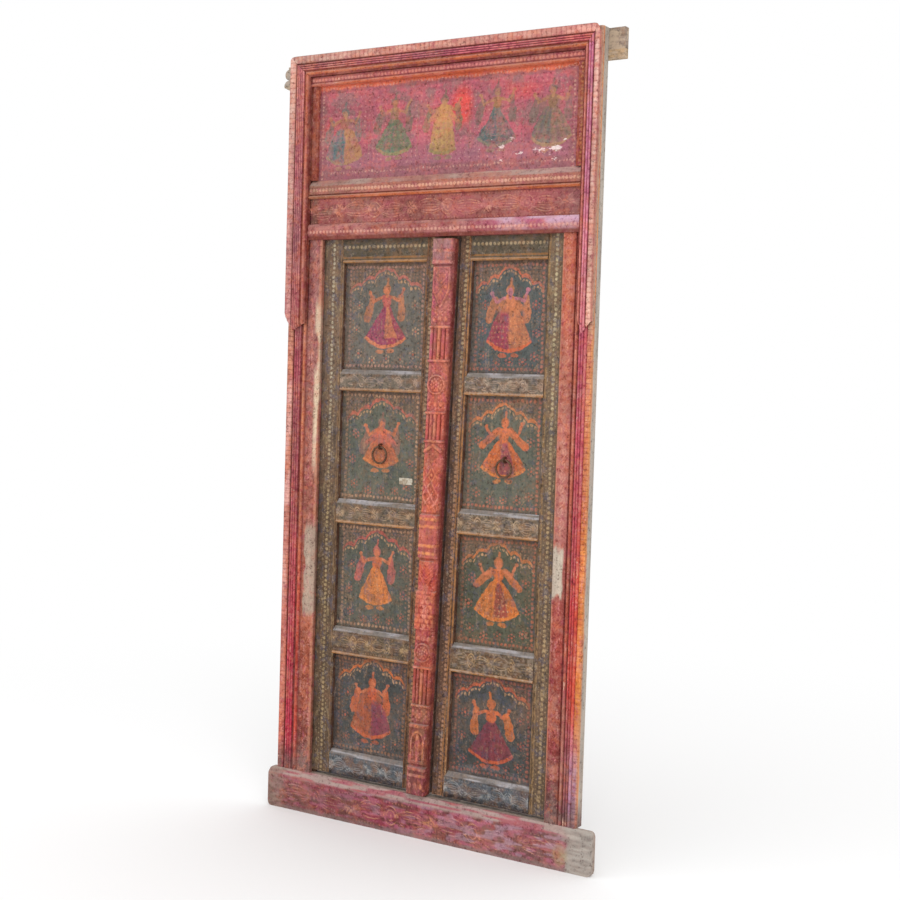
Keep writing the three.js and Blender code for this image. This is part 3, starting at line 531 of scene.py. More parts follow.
lookRed = coloured({"stretch": [60.0, 60.0, 7.0], "under": (212, 172, 150), "dirtAndShade": (86, 34, 30),
                    "warm": (210, 112, 74), "cool": (164, 60, 92), "pale": (224, 160, 146), "wear": 0.08,
                    "dust": 0.3, "fade": 0.36, "bump": 0.5, "vary": 0.40, "greyBelow": 0.34})
lookRedAcross = dict(lookRed, stretch=[7.0, 60.0, 60.0])
lookDarkAcross = coloured({"stretch": [8.0, 60.0, 60.0], "under": (150, 132, 112), "dirtAndShade": (44, 34, 26),
                           "warm": (140, 96, 58), "cool": (86, 88, 104), "pale": (170, 150, 122),
                           "wear": 0.06, "dust": 0.5, "fade": 0.12, "bump": 0.45, "vary": 0.36,
                           "greyBelow": -1.0})
lookWood = coloured({"stretch": [5.0, 70.0, 70.0], "under": (176, 156, 134), "dirtAndShade": (96, 76, 58),
                     "warm": (170, 132, 100), "cool": (128, 120, 112), "pale": (196, 182, 162), "wear": 0.35,
                     "dust": 0.4, "fade": 0.5, "bump": 0.7, "vary": 0.4})

redUpright = carvedMaterial("redUpright", lookRed)
redAcross = carvedMaterial("redAcross", lookRedAcross)
darkAcross = carvedMaterial("darkAcross", lookDarkAcross)


def plainMaterial(name, paint, crest, look, drawing=None):
    # one ground colour, with an optional drawing over it
    material, tree, shader, place = startMaterial(name)
    ground = tree.nodes.new("ShaderNodeRGB")
    ground.outputs[0].default_value = paint
    surface = Field(tree, ground.outputs[0])
    if drawing:
        surface = drawing(tree, place, surface)
    finishPaint(tree, shader, place, surface, crest, look)
    return material


def bareBehind(place, surface, backY):
    # no paint on the far side of a board
    return layer(step(apart(place)[1] * 1000.0 - backY, -0.5, 0.5), surface, colour(122, 92, 70))


def dress(node, material):
    nodes[node].data.materials.clear()
    nodes[node].data.materials.append(material)


def mouldedColumns(members, fineness=1.5 * mm, flatFineness=2.2 * mm):
    # points across a moulding: distance from its outer edge, share of the way over its member, member number
    columns = []
    start = 0.0
    for zone, one in enumerate(members):
        width = one["width"] / one["count"]
        if one["form"] == "flat":
            n = max(2, int(width / flatFineness) + 1)
        else:
            n = max(3, int(width / fineness) + 1)
        for _ in range(one["count"]):
            columns += [(start + s * width, s, zone) for s in np.linspace(0, 1, n)]
            start += width
    return np.array(columns)


def mouldedSurface(spec, columns, along):
    # depth, crest and paint of a face: beads are domes at a pitch, reeds half rounds, ridges two slopes
    members, seed = spec["members"], spec["seed"]
    across, s, zone = columns[:, 0], columns[:, 1], columns[:, 2].astype(int)
    base, form, quirk = (np.array([one[key] for one in members])[zone] for key in ("base", "form", "quirk"))
    low = np.zeros(along.shape + (4,))
    high = np.zeros(along.shape + (4,))
    drawn = np.zeros_like(along)
    for index, one in enumerate(members):
        inZone = zone == index
        low[:, inZone] = tones(along[:, inZone] / mm, one["low"])
        high[:, inZone] = tones(along[:, inZone] / mm, one["high"])
        if one["drawing"] and inZone.any():
            v = (across[inZone] - across[inZone].min() - one["width"] / 2)[None, :] / mm
            drawn[:, inZone] = one["drawing"](along[:, inZone] / mm, v)
    centre = (2 * s - 1)[None, :]
    beat = 2 * ((along / spec["pitch"]) % 1) - 1
    barrel = np.sqrt(np.clip(1 - centre ** 2, 0, 1))
    notch = 1 - ease(abs(beat), 0.70, 0.95)
    bead, reed, slope, flat = (form == kind for kind in ("bead", "reed", "ridge", "flat"))
    height = bead * barrel * (0.55 + 0.45 * notch) + reed * np.sin(math.pi * s) + slope * (1 - abs(centre))
    nick = patchy(along / 0.021, across[None, :] / 0.006 + 40, seed, 0.72, 0.95)
    nick = nick + 0.7 * patchy(along / 0.07, across[None, :] / 0.02, seed + 3, 0.75, 0.95)
    depth = base * (1 - height) + 0.9 * mm * nick * (height + 0.3 * flat) - 0.7 * mm * drawn
    # flats take a lower crest near their edges and in the quirks, so they darken there: painted shade as well
    # as dirt
    clearOfEdgeShade = np.clip(np.minimum(s, 1 - s) / 0.12, 0, 1)
    flatCrest = np.where(quirk > 0.6, 0.42 + (quirk - 1) * 0.3, 0.70 + 0.12 * drawn) * (0.7 + 0.3 * clearOfEdgeShade)
    crest = np.where(flat, flatCrest, 0.46 + 0.54 * height)
    crest = np.where(bead, (0.5 + 0.45 * barrel) * (0.62 + 0.38 * notch), crest)
    # crests take the high paint and hollows the low, rubbed in patches: partly worn paint, partly painted
    # highlight on crests and painted shade in hollows
    rubbed = 0.35 + 0.65 * patchy(along / 0.012, across[None, :] / 0.008, seed + 17, 0.3, 0.7)
    level = np.where(flat, drawn * 0.55, height ** 0.8) * rubbed
    patch = patchy(along / 0.11, across[None, :] / 0.03, seed + 9, 0.35, 0.75)
    paint = blendColours(level, low, high) * (0.86 + 0.22 * patch[..., None])
    paint[..., 3] = 1
    return across, depth, crest, paint


def vine(pitch, sweep, leaf):
    # a wavy stem with a leaf in every bend and dots along both edges
    def drawing(u, v):
        phase = u / pitch
        stem = lineAt(v, sweep * np.sin(tau * phase), 1.2, 2.6)
        beat = (2 * phase) % 1 - 0.5
        side = np.where(np.floor(2 * phase) % 2 == 0, 1.0, -1.0)
        lu = beat * pitch / 2
        lv = v + side * sweep * 0.2
        ring = np.sqrt((lu / leaf) ** 2 + (lv / (leaf * 0.62)) ** 2)
        blade = (1 - ease(ring, 0.85, 1.05)) * ease(abs(lv + 0.5 * lu * side), 0.3, 1.4)
        return np.clip(np.maximum(stem, blade * 0.9), 0, 1)
    return drawing


# the dark red of the quirks is their paint darkened with painted shade; rust and ochre are lighter quirk
# paints
quirkRedShaded, rust, ochre = (138, 54, 46), (176, 84, 56), (206, 130, 92)


def member(form, width, base, low, high, count=1, quirk=0.5, drawing=None):
    # low and high are the paint in its hollows and on its crests, all along or at heights in millimetres; the
    # difference is partly painted shade and painted highlight
    return {"form": form, "width": width * mm, "base": base * mm, "low": low, "high": high,
            "count": count, "quirk": quirk, "drawing": drawing}


jambLeft = {
    "node": "jamb_left", "side": -1, "seed": 3, "pitch": 13.5 * mm, "shoulder": 71 * mm, "lip": 13.5 * mm,
    "rebate": 98 * mm,
    "members": [
        member("bead", 21, 4, [(300, 168, 78, 66), (800, 170, 90, 78), (1300, 172, 98, 80)],
               [(300, 206, 116, 92), (800, 212, 136, 122), (1300, 214, 146, 116)]),
        member("flat", 4, 6, quirkRedShaded, quirkRedShaded, quirk=1),
        member("reed", 23, 4,
               [(350, 170, 40, 62), (650, 172, 52, 62), (900, 146, 62, 70), (1400, 134, 58, 68)],
               [(350, 198, 62, 84), (650, 206, 96, 104), (900, 176, 84, 92), (1400, 166, 80, 92)], count=3),
        member("flat", 5, 6, quirkRedShaded, quirkRedShaded, quirk=1),
        member("ridge", 12, 5, [(500, 176, 54, 44), (900, 160, 72, 56)],
               [(500, 204, 80, 58), (900, 198, 124, 82)]),
        member("flat", 6, 5, (146, 72, 60), quirkRedShaded, quirk=1),
        member("flat", 45, 2,
               [(180, 98, 44, 42), (400, 148, 68, 48), (650, 150, 80, 58), (1100, 144, 84, 76),
                (1500, 144, 84, 84)],
               [(180, 140, 70, 58), (400, 200, 112, 76), (700, 192, 112, 90), (1100, 186, 116, 104),
                (1500, 190, 124, 120)], drawing=vine(64, 11, 13)),
    ],
}
jambRight = {
    "node": "jamb_right", "side": 1, "seed": 8, "pitch": 13.5 * mm, "shoulder": 43 * mm, "lip": 13.5 * mm,
    "rebate": 73 * mm,
    "members": [
        member("bead", 16, 4,
               [(250, 150, 104, 124), (380, 198, 98, 48), (900, 206, 104, 56), (1340, 190, 98, 76),
                (1420, 178, 140, 118)],
               [(250, 186, 140, 164), (380, 230, 140, 64), (900, 226, 138, 76), (1340, 218, 146, 108),
                (1420, 204, 178, 156)]),
        member("reed", 10, 4,
               [(250, 164, 110, 140), (400, 206, 62, 48), (800, 202, 66, 56), (1000, 184, 66, 82)],
               [(250, 200, 148, 178), (400, 216, 84, 56), (800, 212, 96, 76), (1000, 208, 106, 112)]),
        member("reed", 14, 4,
               [(300, 112, 46, 50), (500, 190, 56, 48), (800, 184, 56, 66), (1400, 170, 62, 84)],
               [(300, 156, 84, 96), (500, 208, 76, 58), (800, 200, 86, 96), (1400, 196, 96, 120)], count=2),
        member("flat", 3, 6, quirkRedShaded, quirkRedShaded, quirk=1),
        member("ridge", 9, 5, [(250, 150, 90, 84), (600, 176, 78, 60)],
               [(250, 186, 130, 116), (600, 198, 100, 70), (1200, 208, 132, 110)]),
        member("flat", 3, 5, quirkRedShaded, quirkRedShaded, quirk=1),
        member("flat", 36, 2,
               [(180, 104, 62, 58), (300, 128, 50, 46), (600, 158, 62, 52), (900, 174, 104, 96),
                (1450, 170, 80, 60)],
               [(180, 140, 104, 96), (300, 160, 82, 74), (600, 190, 100, 78), (900, 210, 152, 136),
                (1450, 204, 134, 96)], drawing=vine(60, 9, 11)),
    ],
}


def touchLeft(a, z, paint):
    # light inner arris, cream flakes along it, a grey bare patch lower down, a paler outer edge
    flakes = patchy(z / 0.11, a / 0.02, 61, 0.42, 0.56) * ease(a, 0.094, 0.103)
    flakes = flakes * ease(z, 0.95, 1.02) * (1 - ease(z, 1.42, 1.47))
    bare = ease(a + 0.012 * cloud(z / 0.02, a / 0.01, 62), 0.082, 0.086)
    bare = bare * ease(z, 0.55, 0.58) * (1 - ease(z, 0.80, 0.84))
    outer = patchy(z / 0.07, a / 0.02, 64, 0.55, 0.66) * (1 - ease(a, 0.016, 0.024))
    outer = outer * ease(z, 0.5, 0.7) * (1 - ease(z, 1.25, 1.35))
    return coats(paint, (ease(a, 0.104, 0.110) * 0.55, colour(214, 150, 116)),
                 (flakes, colour(222, 198, 168)), (bare * 0.85, colour(176, 160, 142)),
                 (outer * 0.7, colour(230, 176, 166)))


def touchRight(a, z, paint):
    # orange inner arris, a long bare patch half way down, a light outer edge
    bare = ease(a + 0.006 * cloud(z / 0.02, a / 0.01, 71), 0.064, 0.068)
    foot, head = (z + 0.03 * cloud(a / 0.006, z / 0.05, seed) for seed in (73, 74))
    bare = bare * ease(foot, 0.70, 0.715) * (1 - ease(head, 0.83, 0.845))
    edgeTone = blendColours(ease(z, 1.34, 1.42), colour(234, 166, 92), colour(206, 184, 160))
    return coats(paint, (ease(a, 0.086, 0.091) * 0.7, colour(226, 152, 116)), (bare, colour(196, 182, 164)),
                 ((1 - ease(a, 0.0, 0.005)) * 0.6, edgeTone))


sillTop = span("sill")[1][2]
transomBottom = span("transom")[0][2]


def makeJamb(spec, touch):
    # a lower part with its rebate, which replaces the frame piece, and a narrower upper part behind the hood
    low, high = span(spec["node"])
    outerX = low[0] if spec["side"] < 0 else high[0]
    deep = high[1] - low[1]
    columns = mouldedColumns(spec["members"])
    width = columns[-1, 0]
    narrow = columns[columns[:, 0] <= spec["shoulder"] + 1e-6]
    narrow = np.vstack([narrow, [[spec["shoulder"], 0.5, narrow[-1, 2]]]])
    outerSide = [(0.0, d) for d in np.linspace(deep, 0, 9)[:-1]]
    rebate = [(width, spec["lip"]), (spec["rebate"], spec["lip"]), (spec["rebate"], deep)]
    parts = (("lower", sillTop, transomBottom, columns, rebate, 2.25 * mm, (spec["node"],)),
             ("upper", transomBottom, high[2], narrow, [(spec["shoulder"], deep)], 8 * mm, ()))
    for part, z0, z1, kept, back, fineness, replacing in parts:
        count = int((z1 - z0) / fineness)
        along = np.linspace(z0, z1, count)[:, None] * np.ones(len(kept))
        across, depth, crest, paint = mouldedSurface(spec, kept, along)
        paint = touch(across * np.ones(along.shape), along, paint)
        back = np.array(back + outerSide)
        ones = np.ones((count, 1))
        allAcross = np.concatenate([across, back[:, 0]]) * ones
        allDepth = np.concatenate([depth, back[:, 1] * ones], 1)
        allAlong = along[:, :1] * np.ones(allDepth.shape)
        points = np.stack([outerX - spec["side"] * allAcross, low[1] + allDepth, allAlong], -1)
        backAlong = allAlong[:, -len(back):]
        backMm = back[:, 1] * ones / mm
        sidePaint = blendColours(cloud(backAlong / 0.09, backMm / 9, 5), colour(196, 188, 174),
                                 colour(164, 158, 148))
        frontEdge = 1 - ease(backMm + 5 * cloud(backAlong / 0.03, backMm / 9, 6), 11, 15)
        sidePaint = blendColours(frontEdge, sidePaint, colour(222, 150, 96))
        # the faces of the rebate and the lip's inner side are painted dark brown: painted shade in the gap
        # beside the leaf
        sidePaint[:, back[:, 0] > 20 * mm] = colour(84, 56, 42)
        crest = np.concatenate([crest, np.full((count, len(back)), 0.6)], 1)
        paint = np.concatenate([paint, sidePaint], 1)
        damp = allAlong + 0.02 * cloud(allAlong / 0.03, allAcross / 0.01, 9)
        paint = blendColours(ease(damp, sillTop + 0.10, sillTop + 0.03) * 0.8, paint, colour(104, 82, 80))
        makePiece(spec["node"] + "_" + part, points, "frame", redUpright, paint, crest,
                  replacing=replacing)


makeJamb(jambLeft, touchLeft)
makeJamb(jambRight, touchRight)
print("jambs made")

hoodTop = {
    "node": "hood_top", "pitch": 14 * mm, "seed": 21,
    "members": [
        member("bead", 22, 4, [(-400, 170, 118, 108), (-100, 186, 104, 96), (400, 196, 116, 108)],
               [(-400, 206, 166, 150), (-100, 216, 158, 140), (400, 218, 156, 142)]),
        member("flat", 3, 6, quirkRedShaded, rust, quirk=1.3),
        member("reed", 17, 4, [(-400, 156, 74, 84), (0, 158, 66, 94), (400, 174, 66, 80)],
               [(-400, 202, 122, 112), (0, 204, 110, 120), (400, 216, 118, 112)], count=3),
        member("flat", 3, 6, rust, ochre, quirk=1.4),
        member("ridge", 10, 6, (190, 92, 60), [(-400, 216, 132, 88), (0, 218, 124, 80), (400, 214, 124, 76)]),
        member("flat", 5, 6, quirkRedShaded, quirkRedShaded, quirk=1.1),
    ],
}
hoodLeft = {
    "node": "hood_left", "side": -1, "pitch": 14 * mm, "seed": 14, "tipShare": 0.41,
    "tips": (1408, 1366, 1390), "members": [
        member("bead", 22, 4, [(1500, 176, 106, 106), (2000, 200, 140, 128)],
               [(1500, 204, 146, 140), (2000, 224, 182, 166)]),
        member("flat", 3, 6, quirkRedShaded, rust, quirk=1.3),
        member("reed", 26, 4, [(1420, 162, 72, 78), (1600, 134, 64, 80), (2000, 166, 78, 96)],
               [(1420, 196, 122, 116), (1600, 178, 110, 116), (2000, 216, 132, 130)], count=4),
        member("flat", 4, 6, rust, ochre, quirk=1.4),
        member("ridge", 10, 6, (172, 82, 66), [(1500, 214, 138, 124), (1900, 214, 122, 88)]),
        member("flat", 5, 6, quirkRedShaded, quirkRedShaded, quirk=1.1),
    ],
}
hoodRight = {
    "node": "hood_right", "side": 1, "pitch": 13 * mm, "seed": 27, "tipShare": 0.62,
    "tips": (1398, 1366, 1412), "members": [
        member("bead", 14, 4, [(1450, 212, 140, 122), (1800, 194, 122, 112)],
               [(1450, 228, 182, 162), (1800, 220, 178, 164)]),
        member("flat", 2, 6, quirkRedShaded, (170, 90, 88), quirk=1.3),
        member("reed", 14, 4, [(1450, 190, 96, 110), (1800, 170, 86, 116)],
               [(1450, 220, 146, 152), (1800, 208, 132, 158)], count=2),
        member("flat", 2, 6, quirkRedShaded, (182, 96, 80), quirk=1.3),
        member("ridge", 7, 6, (180, 92, 82), (216, 142, 126)),
        member("flat", 3, 6, quirkRedShaded, quirkRedShaded, quirk=1.1),
    ],
}
hoodShape = {"corner": 18 * mm, "mitre": 60 * mm, "fineness": 2.3 * mm}


def roundCorner(across, radius):
    # how far a quarter circle lies inside its square corner, at each distance from the edge
    return radius - np.sqrt(np.clip(radius ** 2 - (radius - np.minimum(across, radius)) ** 2, 0, None))


def makeHoodBar(spec, columns, along, place, material):
    # closes the moulded face with two back corners; place turns across, depth and along into a point
    low, high = span(spec["node"])
    across, depth, crest, paint = mouldedSurface(spec, columns, along)
    if "tips" in spec:
        depth = depth + 4 * mm * ease(along - along[:1], 0.010, 0.0)
    count = len(along)
    across = np.concatenate([across, [across[-1], 0.0]]) * np.ones((count, 1))
    depth = np.concatenate([depth, np.full((count, 2), high[1] - low[1])], 1)
    along = np.concatenate([along, along[:, [-1, 0]]], 1)
    # the inner face (the underside on the top member) is painted dark brown as painted shade, the outer face
    # pale
    paint, crest = withCorners(paint, crest, [colour(118, 54, 36), colour(206, 160, 132)], 0.5)
    makePiece(spec["node"] + "_carved", place(across, low[1] + depth, along), "frame", material,
              paint, crest, replacing=(spec["node"],))


def makeHoodSide(spec):
    # runs from a pointed tip up to the mitre with the top member
    low, high = span(spec["node"])
    topZ = span("hood_top")[1][2]
    outerX = low[0] if spec["side"] < 0 else high[0]
    columns = mouldedColumns(spec["members"])
    across = columns[:, 0]
    width = across[-1]
    outer, tip, inner = [z * mm for z in spec["tips"]]
    bottom = np.interp(across, [0, spec["tipShare"] * width, width], [outer, tip, inner])
    corner = roundCorner(across, hoodShape["corner"])
    top = np.minimum(topZ - 0.6 * mm - hoodShape["mitre"] * across / width, topZ - corner)
    share = np.linspace(0, 1, int((high[2] - low[2]) / hoodShape["fineness"]))[:, None]
    makeHoodBar(spec, columns, bottom + share * (top - bottom),
                lambda across, y, along: np.stack([outerX - spec["side"] * across, y, along], -1), redUpright)


def makeHoodTop(spec):
    # between the two mitres, its beads running along x
    leftLow, leftHigh = span("hood_left")
    rightLow, rightHigh = span("hood_right")
    topZ = span("hood_top")[1][2]
    columns = mouldedColumns(spec["members"])
    across = columns[:, 0]
    share, inset = across / across[-1], roundCorner(across, hoodShape["corner"])
    left = leftLow[0] + np.maximum((leftHigh[0] - leftLow[0]) * share, inset)
    right = rightHigh[0] - np.maximum((rightHigh[0] - rightLow[0]) * share, inset)
    way = np.linspace(0, 1, int((rightHigh[0] - leftLow[0]) / hoodShape["fineness"]))[:, None]
    makeHoodBar(spec, columns, left + way * (right - left),
                lambda across, y, along: np.stack([along, y, topZ - across], -1), redAcross)


makeHoodSide(hoodLeft)
makeHoodSide(hoodRight)
makeHoodTop(hoodTop)
print("hood made")


def ovalStep(u, v, cu, cv, ru, rv, rise, soft=1.6):
    # a raised oval with a soft rim
    away = np.sqrt(((u - cu) / ru) ** 2 + ((v - cv) / rv) ** 2)
    return rise * (1 - ease(away, 1 - soft / min(ru, rv), 1 + soft / min(ru, rv)))


def ovalRing(u, v, cu, cv, ru, rv, width, rise):
    away = (np.sqrt(((u - cu) / ru) ** 2 + ((v - cv) / rv) ** 2) - 1) * min(ru, rv)
    return rise * lineAt(away, 0, width * 0.35, width * 0.75)


def beadRow(u, v, pitch, radius):
    # small round dots on the line v = 0
    phase = (np.mod(u / pitch, 1) - 0.5) * pitch
    return 1 - ease(np.sqrt(phase ** 2 + v ** 2), radius - 1, radius + 0.8)


def scroll(u, v, spec):
    # nested leaf outlines running out from flowers, an eye where their tips meet, a row of dots on each side
    pitch, reach, seed, dots = spec["pitch"], spec["reach"], spec["seed"], spec["dots"]
    u = u + 3.0 * (cloud(u / 22, v / 16, seed) - 0.5)
    v = v + 2.4 * (cloud(u / 18, v / 14 + 7, seed + 1) - 0.5)
    fromFlower = np.mod(u + pitch / 2, pitch) - pitch / 2
    fromEye = pitch / 2 - abs(fromFlower)
    bow = np.clip(1 - ((abs(fromFlower) - pitch * 0.25) / (pitch * 0.215)) ** 2, 0.001, 1)
    lean = reach * 0.16 * np.sin(tau * fromFlower / pitch)
    share = abs(v - lean) / (reach * 0.94 * bow)
    width = 1.25 / (reach * bow)
    outlines = ((0.94, 1.0), (0.58, 0.8), (0.16, 0.7))
    leaves = np.maximum.reduce([rise * lineAt(share, at, width * 0.5, width * 1.5) for at, rise in outlines])
    away = np.sqrt(fromFlower ** 2 + v ** 2) / (reach * 0.95)
    turn = np.arctan2(v, fromFlower) * 3
    petals = 1 - ease(away - (0.62 + 0.38 * abs(np.cos(turn))), -0.10, 0.06)
    petals = petals * ease(away, 0.16, 0.3) * ease(abs(np.sin(turn)), 0.12, 0.4)
    dotU, dotV = (np.mod(u / dots, 1) - 0.5) * dots, abs(v) - (reach + spec["dotGap"])
    eyeWide, eyeHigh = pitch * 0.085, reach * 0.92
    height = np.maximum.reduce([
        leaves * ease(bow, 0.05, 0.22), petals * 0.9,
        0.7 * (1 - ease(np.sqrt(dotU ** 2 + dotV ** 2), 1.2, 2.6)),
        ovalStep(fromFlower, v, 0, 0, 3.0, 3.0, 1.0, 1.0), ovalStep(fromEye, v, 0, 0, 3.2, 4.0, 0.9, 1.2),
        ovalRing(fromEye, v, 0, 0, eyeWide, eyeHigh, 2.2, 1.0),
        ovalRing(fromEye, v, 0, 0, eyeWide * 0.52 / 0.92, eyeHigh * 0.52 / 0.92, 2.2, 1.0)])
    return height * (0.25 + 0.75 * patchy(u / 16, v / 9, seed + 5, 0.28, 0.62))


def boardPiece(name, node, ends, zeroY, outline, carve, body="frame",
               material=redAcross, fineX=2.4, fineZ=1.7, shift=lambda u, z: 0.0):
    # a bar along x: its outline (height, distance behind zeroY) runs from end to end, carved by a formula
    # that gives height, crest and paint; bare wood behind
    outline = np.array(outline, float)
    parts = []
    for start, end in zip(outline[:-1], outline[1:]):
        n = max(1, int(round(math.hypot(*(end - start)) / fineZ)))
        parts.append(start + (end - start) * np.linspace(0, 1, n, endpoint=False)[:, None])
    front = np.concatenate(parts + [outline[-1:]])
    u = np.linspace(ends[0], ends[1], int((ends[1] - ends[0]) / fineX) + 1)[:, None] * np.ones(len(front))
    z, y = (front[:, k] * np.ones(u.shape) for k in (0, 1))
    raised, crest, paint = carve(u, z)
    paint = blendColours(ease(y, 12, 20), paint, colour(122, 92, 70))
    points = np.stack([u + shift(u, z), y - raised + zeroY, z], -1) * mm
    makePiece(name, points, body, material, paint, crest, 50, replacing=(node,))


topRail = coloured({"pitch": 11.0, "bead": 4.2, "ground": (170, 84, 84), "beads": (204, 130, 114),
                    "arris": (212, 104, 60), "patch": (196, 116, 120)})
topLow, topHigh = millimetres("frieze_top_rail")
topFace = topLow[1] - topHigh[1]


def carveTopRail(u, z):
    # a row of beads over an orange lower arris
    beads = beadRow(u, z - (topLow[2] + 16), topRail["pitch"], topRail["bead"])
    arris = lineAt(z, topLow[2] + 3, 3.0, 6.5)
    shadow = lineAt(z, topLow[2] + 9.5, 0.8, 2.4)
    paint = coats(topRail["ground"], (beads * 0.7, topRail["beads"]), (arris * 0.9, topRail["arris"]),
                  (patchy(u / 90, z / 30, 4, 0.4, 0.8) * 0.4, topRail["patch"]))
    return 0.8 * beads, np.clip(0.55 + 0.4 * beads + 0.4 * arris, 0, 1) * (1 - 0.8 * shadow), paint


boardPiece("frieze_top_rail_carved", "frieze_top_rail", (topLow[0], topHigh[0]), topHigh[1],
           [(topLow[2], 0), (topLow[2], topFace + 5), (topLow[2] + 3, topFace), (topLow[2] + 8, topFace + 5),
            (topHigh[2], topFace + 5), (topHigh[2], 0)], carveTopRail)

midRail = coloured({"pitch": 11.0, "bead": 4.6, "ground": (178, 112, 98), "beads": (218, 168, 140),
                    "line": (186, 116, 96), "arris": (210, 112, 60), "mud": (128, 100, 80),
                    "dust": (196, 172, 158), "rightDust": (206, 176, 172)})
midLow, midHigh = millimetres("frieze_mid_rail")
midFace = midLow[1] - midHigh[1]


def carveMidRail(u, z):
    # beads and a line under a dusty slope, an orange lower arris, mud towards the left
    slope = ease(z, midHigh[2] - 19, midHigh[2] - 13)
    beads = beadRow(u, z - (midLow[2] + 23), midRail["pitch"], midRail["bead"])
    arris = lineAt(z, midLow[2] + 4, 3.5, 7)
    shadow = lineAt(z, midLow[2] + 10.5, 0.8, 2.6)
    mud = (1 - ease(u, -420, -120)) * patchy(u / 40, z / 14, 35, 0.3, 0.7)
    paint = coats(midRail["ground"], (beads * 0.65, midRail["beads"]),
                  (lineAt(z, midLow[2] + 32, 1.2, 2.6) * 0.5, midRail["line"]),
                  (arris * 0.9, midRail["arris"]), (mud * 0.6, midRail["mud"]),
                  (patchy(u / 60, z / 12, 31, 0.25, 0.75) * slope * 0.75, midRail["dust"]),
                  (ease(u, 150, 420) * slope * 0.5, midRail["rightDust"]))
    crest = np.clip(0.55 + 0.4 * beads + 0.4 * arris, 0, 1) * (1 - 0.85 * shadow)
    return beads * (1 - slope), crest, paint


boardPiece("frieze_mid_rail_carved", "frieze_mid_rail", (midLow[0], midHigh[0]), midHigh[1],
           [(midLow[2], 0), (midLow[2], midFace + 6), (midLow[2] + 4, midFace), (midLow[2] + 9, midFace + 9),
            (midLow[2] + 11, midFace + 6), (midHigh[2] - 16, midFace + 6), (midHigh[2], 0)], carveMidRail)

band = coloured({"pitch": 236, "reach": 22, "dots": 9.5, "dotGap": 8.5, "seed": 12, "ground": (154, 80, 78),
                 "patch": (186, 102, 104), "mud": (122, 92, 76), "marks": (204, 134, 108),
                 "grey": (146, 106, 112)})
bandLow, bandHigh = millimetres("frieze_band")
bandFace = bandLow[1] - bandHigh[1] + 4


def carveBand(u, z):
    # carved eyes and leaves, muddier towards the left
    v = z - (bandLow[2] + bandHigh[2]) / 2
    marks = scroll(u + 70, v, band) * (1 - ease(abs(v), 31, 34))
    mud = patchy(u / 36, z / 16, 13, 0.35, 0.75) * (0.25 + 0.55 * (1 - ease(u, -400, 60)))
    paint = coats(band["ground"], (patchy(u / 90, z / 30, 12, 0.35, 0.7), band["patch"]), (mud, band["mud"]),
                  (marks * 0.62, band["marks"]), (ease(u, 330, 440) * 0.4, band["grey"]))
    return 2.4 * marks, 0.50 + 0.45 * marks, paint


boardPiece("frieze_band_carved", "frieze_band", (bandLow[0], bandHigh[0]), bandHigh[1],
           [(bandLow[2], 0), (bandLow[2], bandFace), (bandHigh[2], bandFace), (bandHigh[2], 0)], carveBand,
           fineX=2.2)

lintel = coloured({"pitch": 11.5, "bead": 4.0, "ground": (152, 78, 76), "worn": (186, 120, 112),
                   "lilac": (198, 106, 136), "pale": (220, 178, 204), "beads": (222, 170, 150),
                   "foot": (150, 70, 52)})
lintelLow, lintelHigh = millimetres("lintel_moulding")
lintelFace = lintelLow[1] - lintelHigh[1]


def carveLintel(u, z):
    # a row of beads over a darker foot, lilac and pale towards the right
    worn = patchy(u / 45, z / 14, 17, 0.3, 0.7)
    right = ease(u, 60, 260) * (0.35 + 0.65 * ease(z, lintelLow[2] + 20, lintelLow[2] + 32))
    beads = beadRow(u, z - (lintelLow[2] + 20), lintel["pitch"], lintel["bead"])
    foot = 1 - ease(z, lintelLow[2] + 6, lintelLow[2] + 11)
    paint = coats(lintel["ground"], (worn * 0.8, lintel["worn"]),
                  (right, blendColours(worn, lintel["lilac"], lintel["pale"])),
                  (beads * 0.5, lintel["beads"]), (foot * 0.85, lintel["foot"]))
    return 0.9 * beads, np.clip(0.6 + 0.3 * beads - 0.35 * foot, 0, 1), paint


boardPiece("lintel_carved", "lintel_moulding", (lintelLow[0], lintelHigh[0]), lintelHigh[1],
           [(lintelLow[2], 0), (lintelLow[2], lintelFace + 5), (lintelLow[2] + 7, lintelFace + 5),
            (lintelLow[2] + 12, lintelFace + 0.9), (lintelHigh[2] - 8, lintelFace + 0.9),
            (lintelHigh[2], lintelFace + 6), (lintelHigh[2], 0)], carveLintel)
print("frieze carved")

leafSpecs = {
    "left": {"towards": 1, "panelStart": 65, "panelEnd": 325, "meeting": 419, "body": "left_leaf"},
    "right": {"towards": -1, "panelStart": 54, "panelEnd": 292, "meeting": 332, "body": "right_leaf"},
}
leafSag = {"lean": 0.028, "level": 930.0, "from": 20}
leafFace = millimetres("left_hinge_stile")[0][1]
for side, leaf in leafSpecs.items():
    low, high = millimetres(side + "_hinge_stile")
    leaf["pivot"] = high[0] - leaf["panelStart"] if leaf["towards"] > 0 else low[0] + leaf["panelStart"]


def leanAt(leaf, x):
    # sideways lean of a leaf for its height: none at the pivot, growing towards the meeting edge
    reach = (x - leaf["pivot"]) * leaf["towards"]
    return leafSag["lean"] * np.maximum(0, (reach - leafSag["from"]) / (leaf["meeting"] - leafSag["from"]))


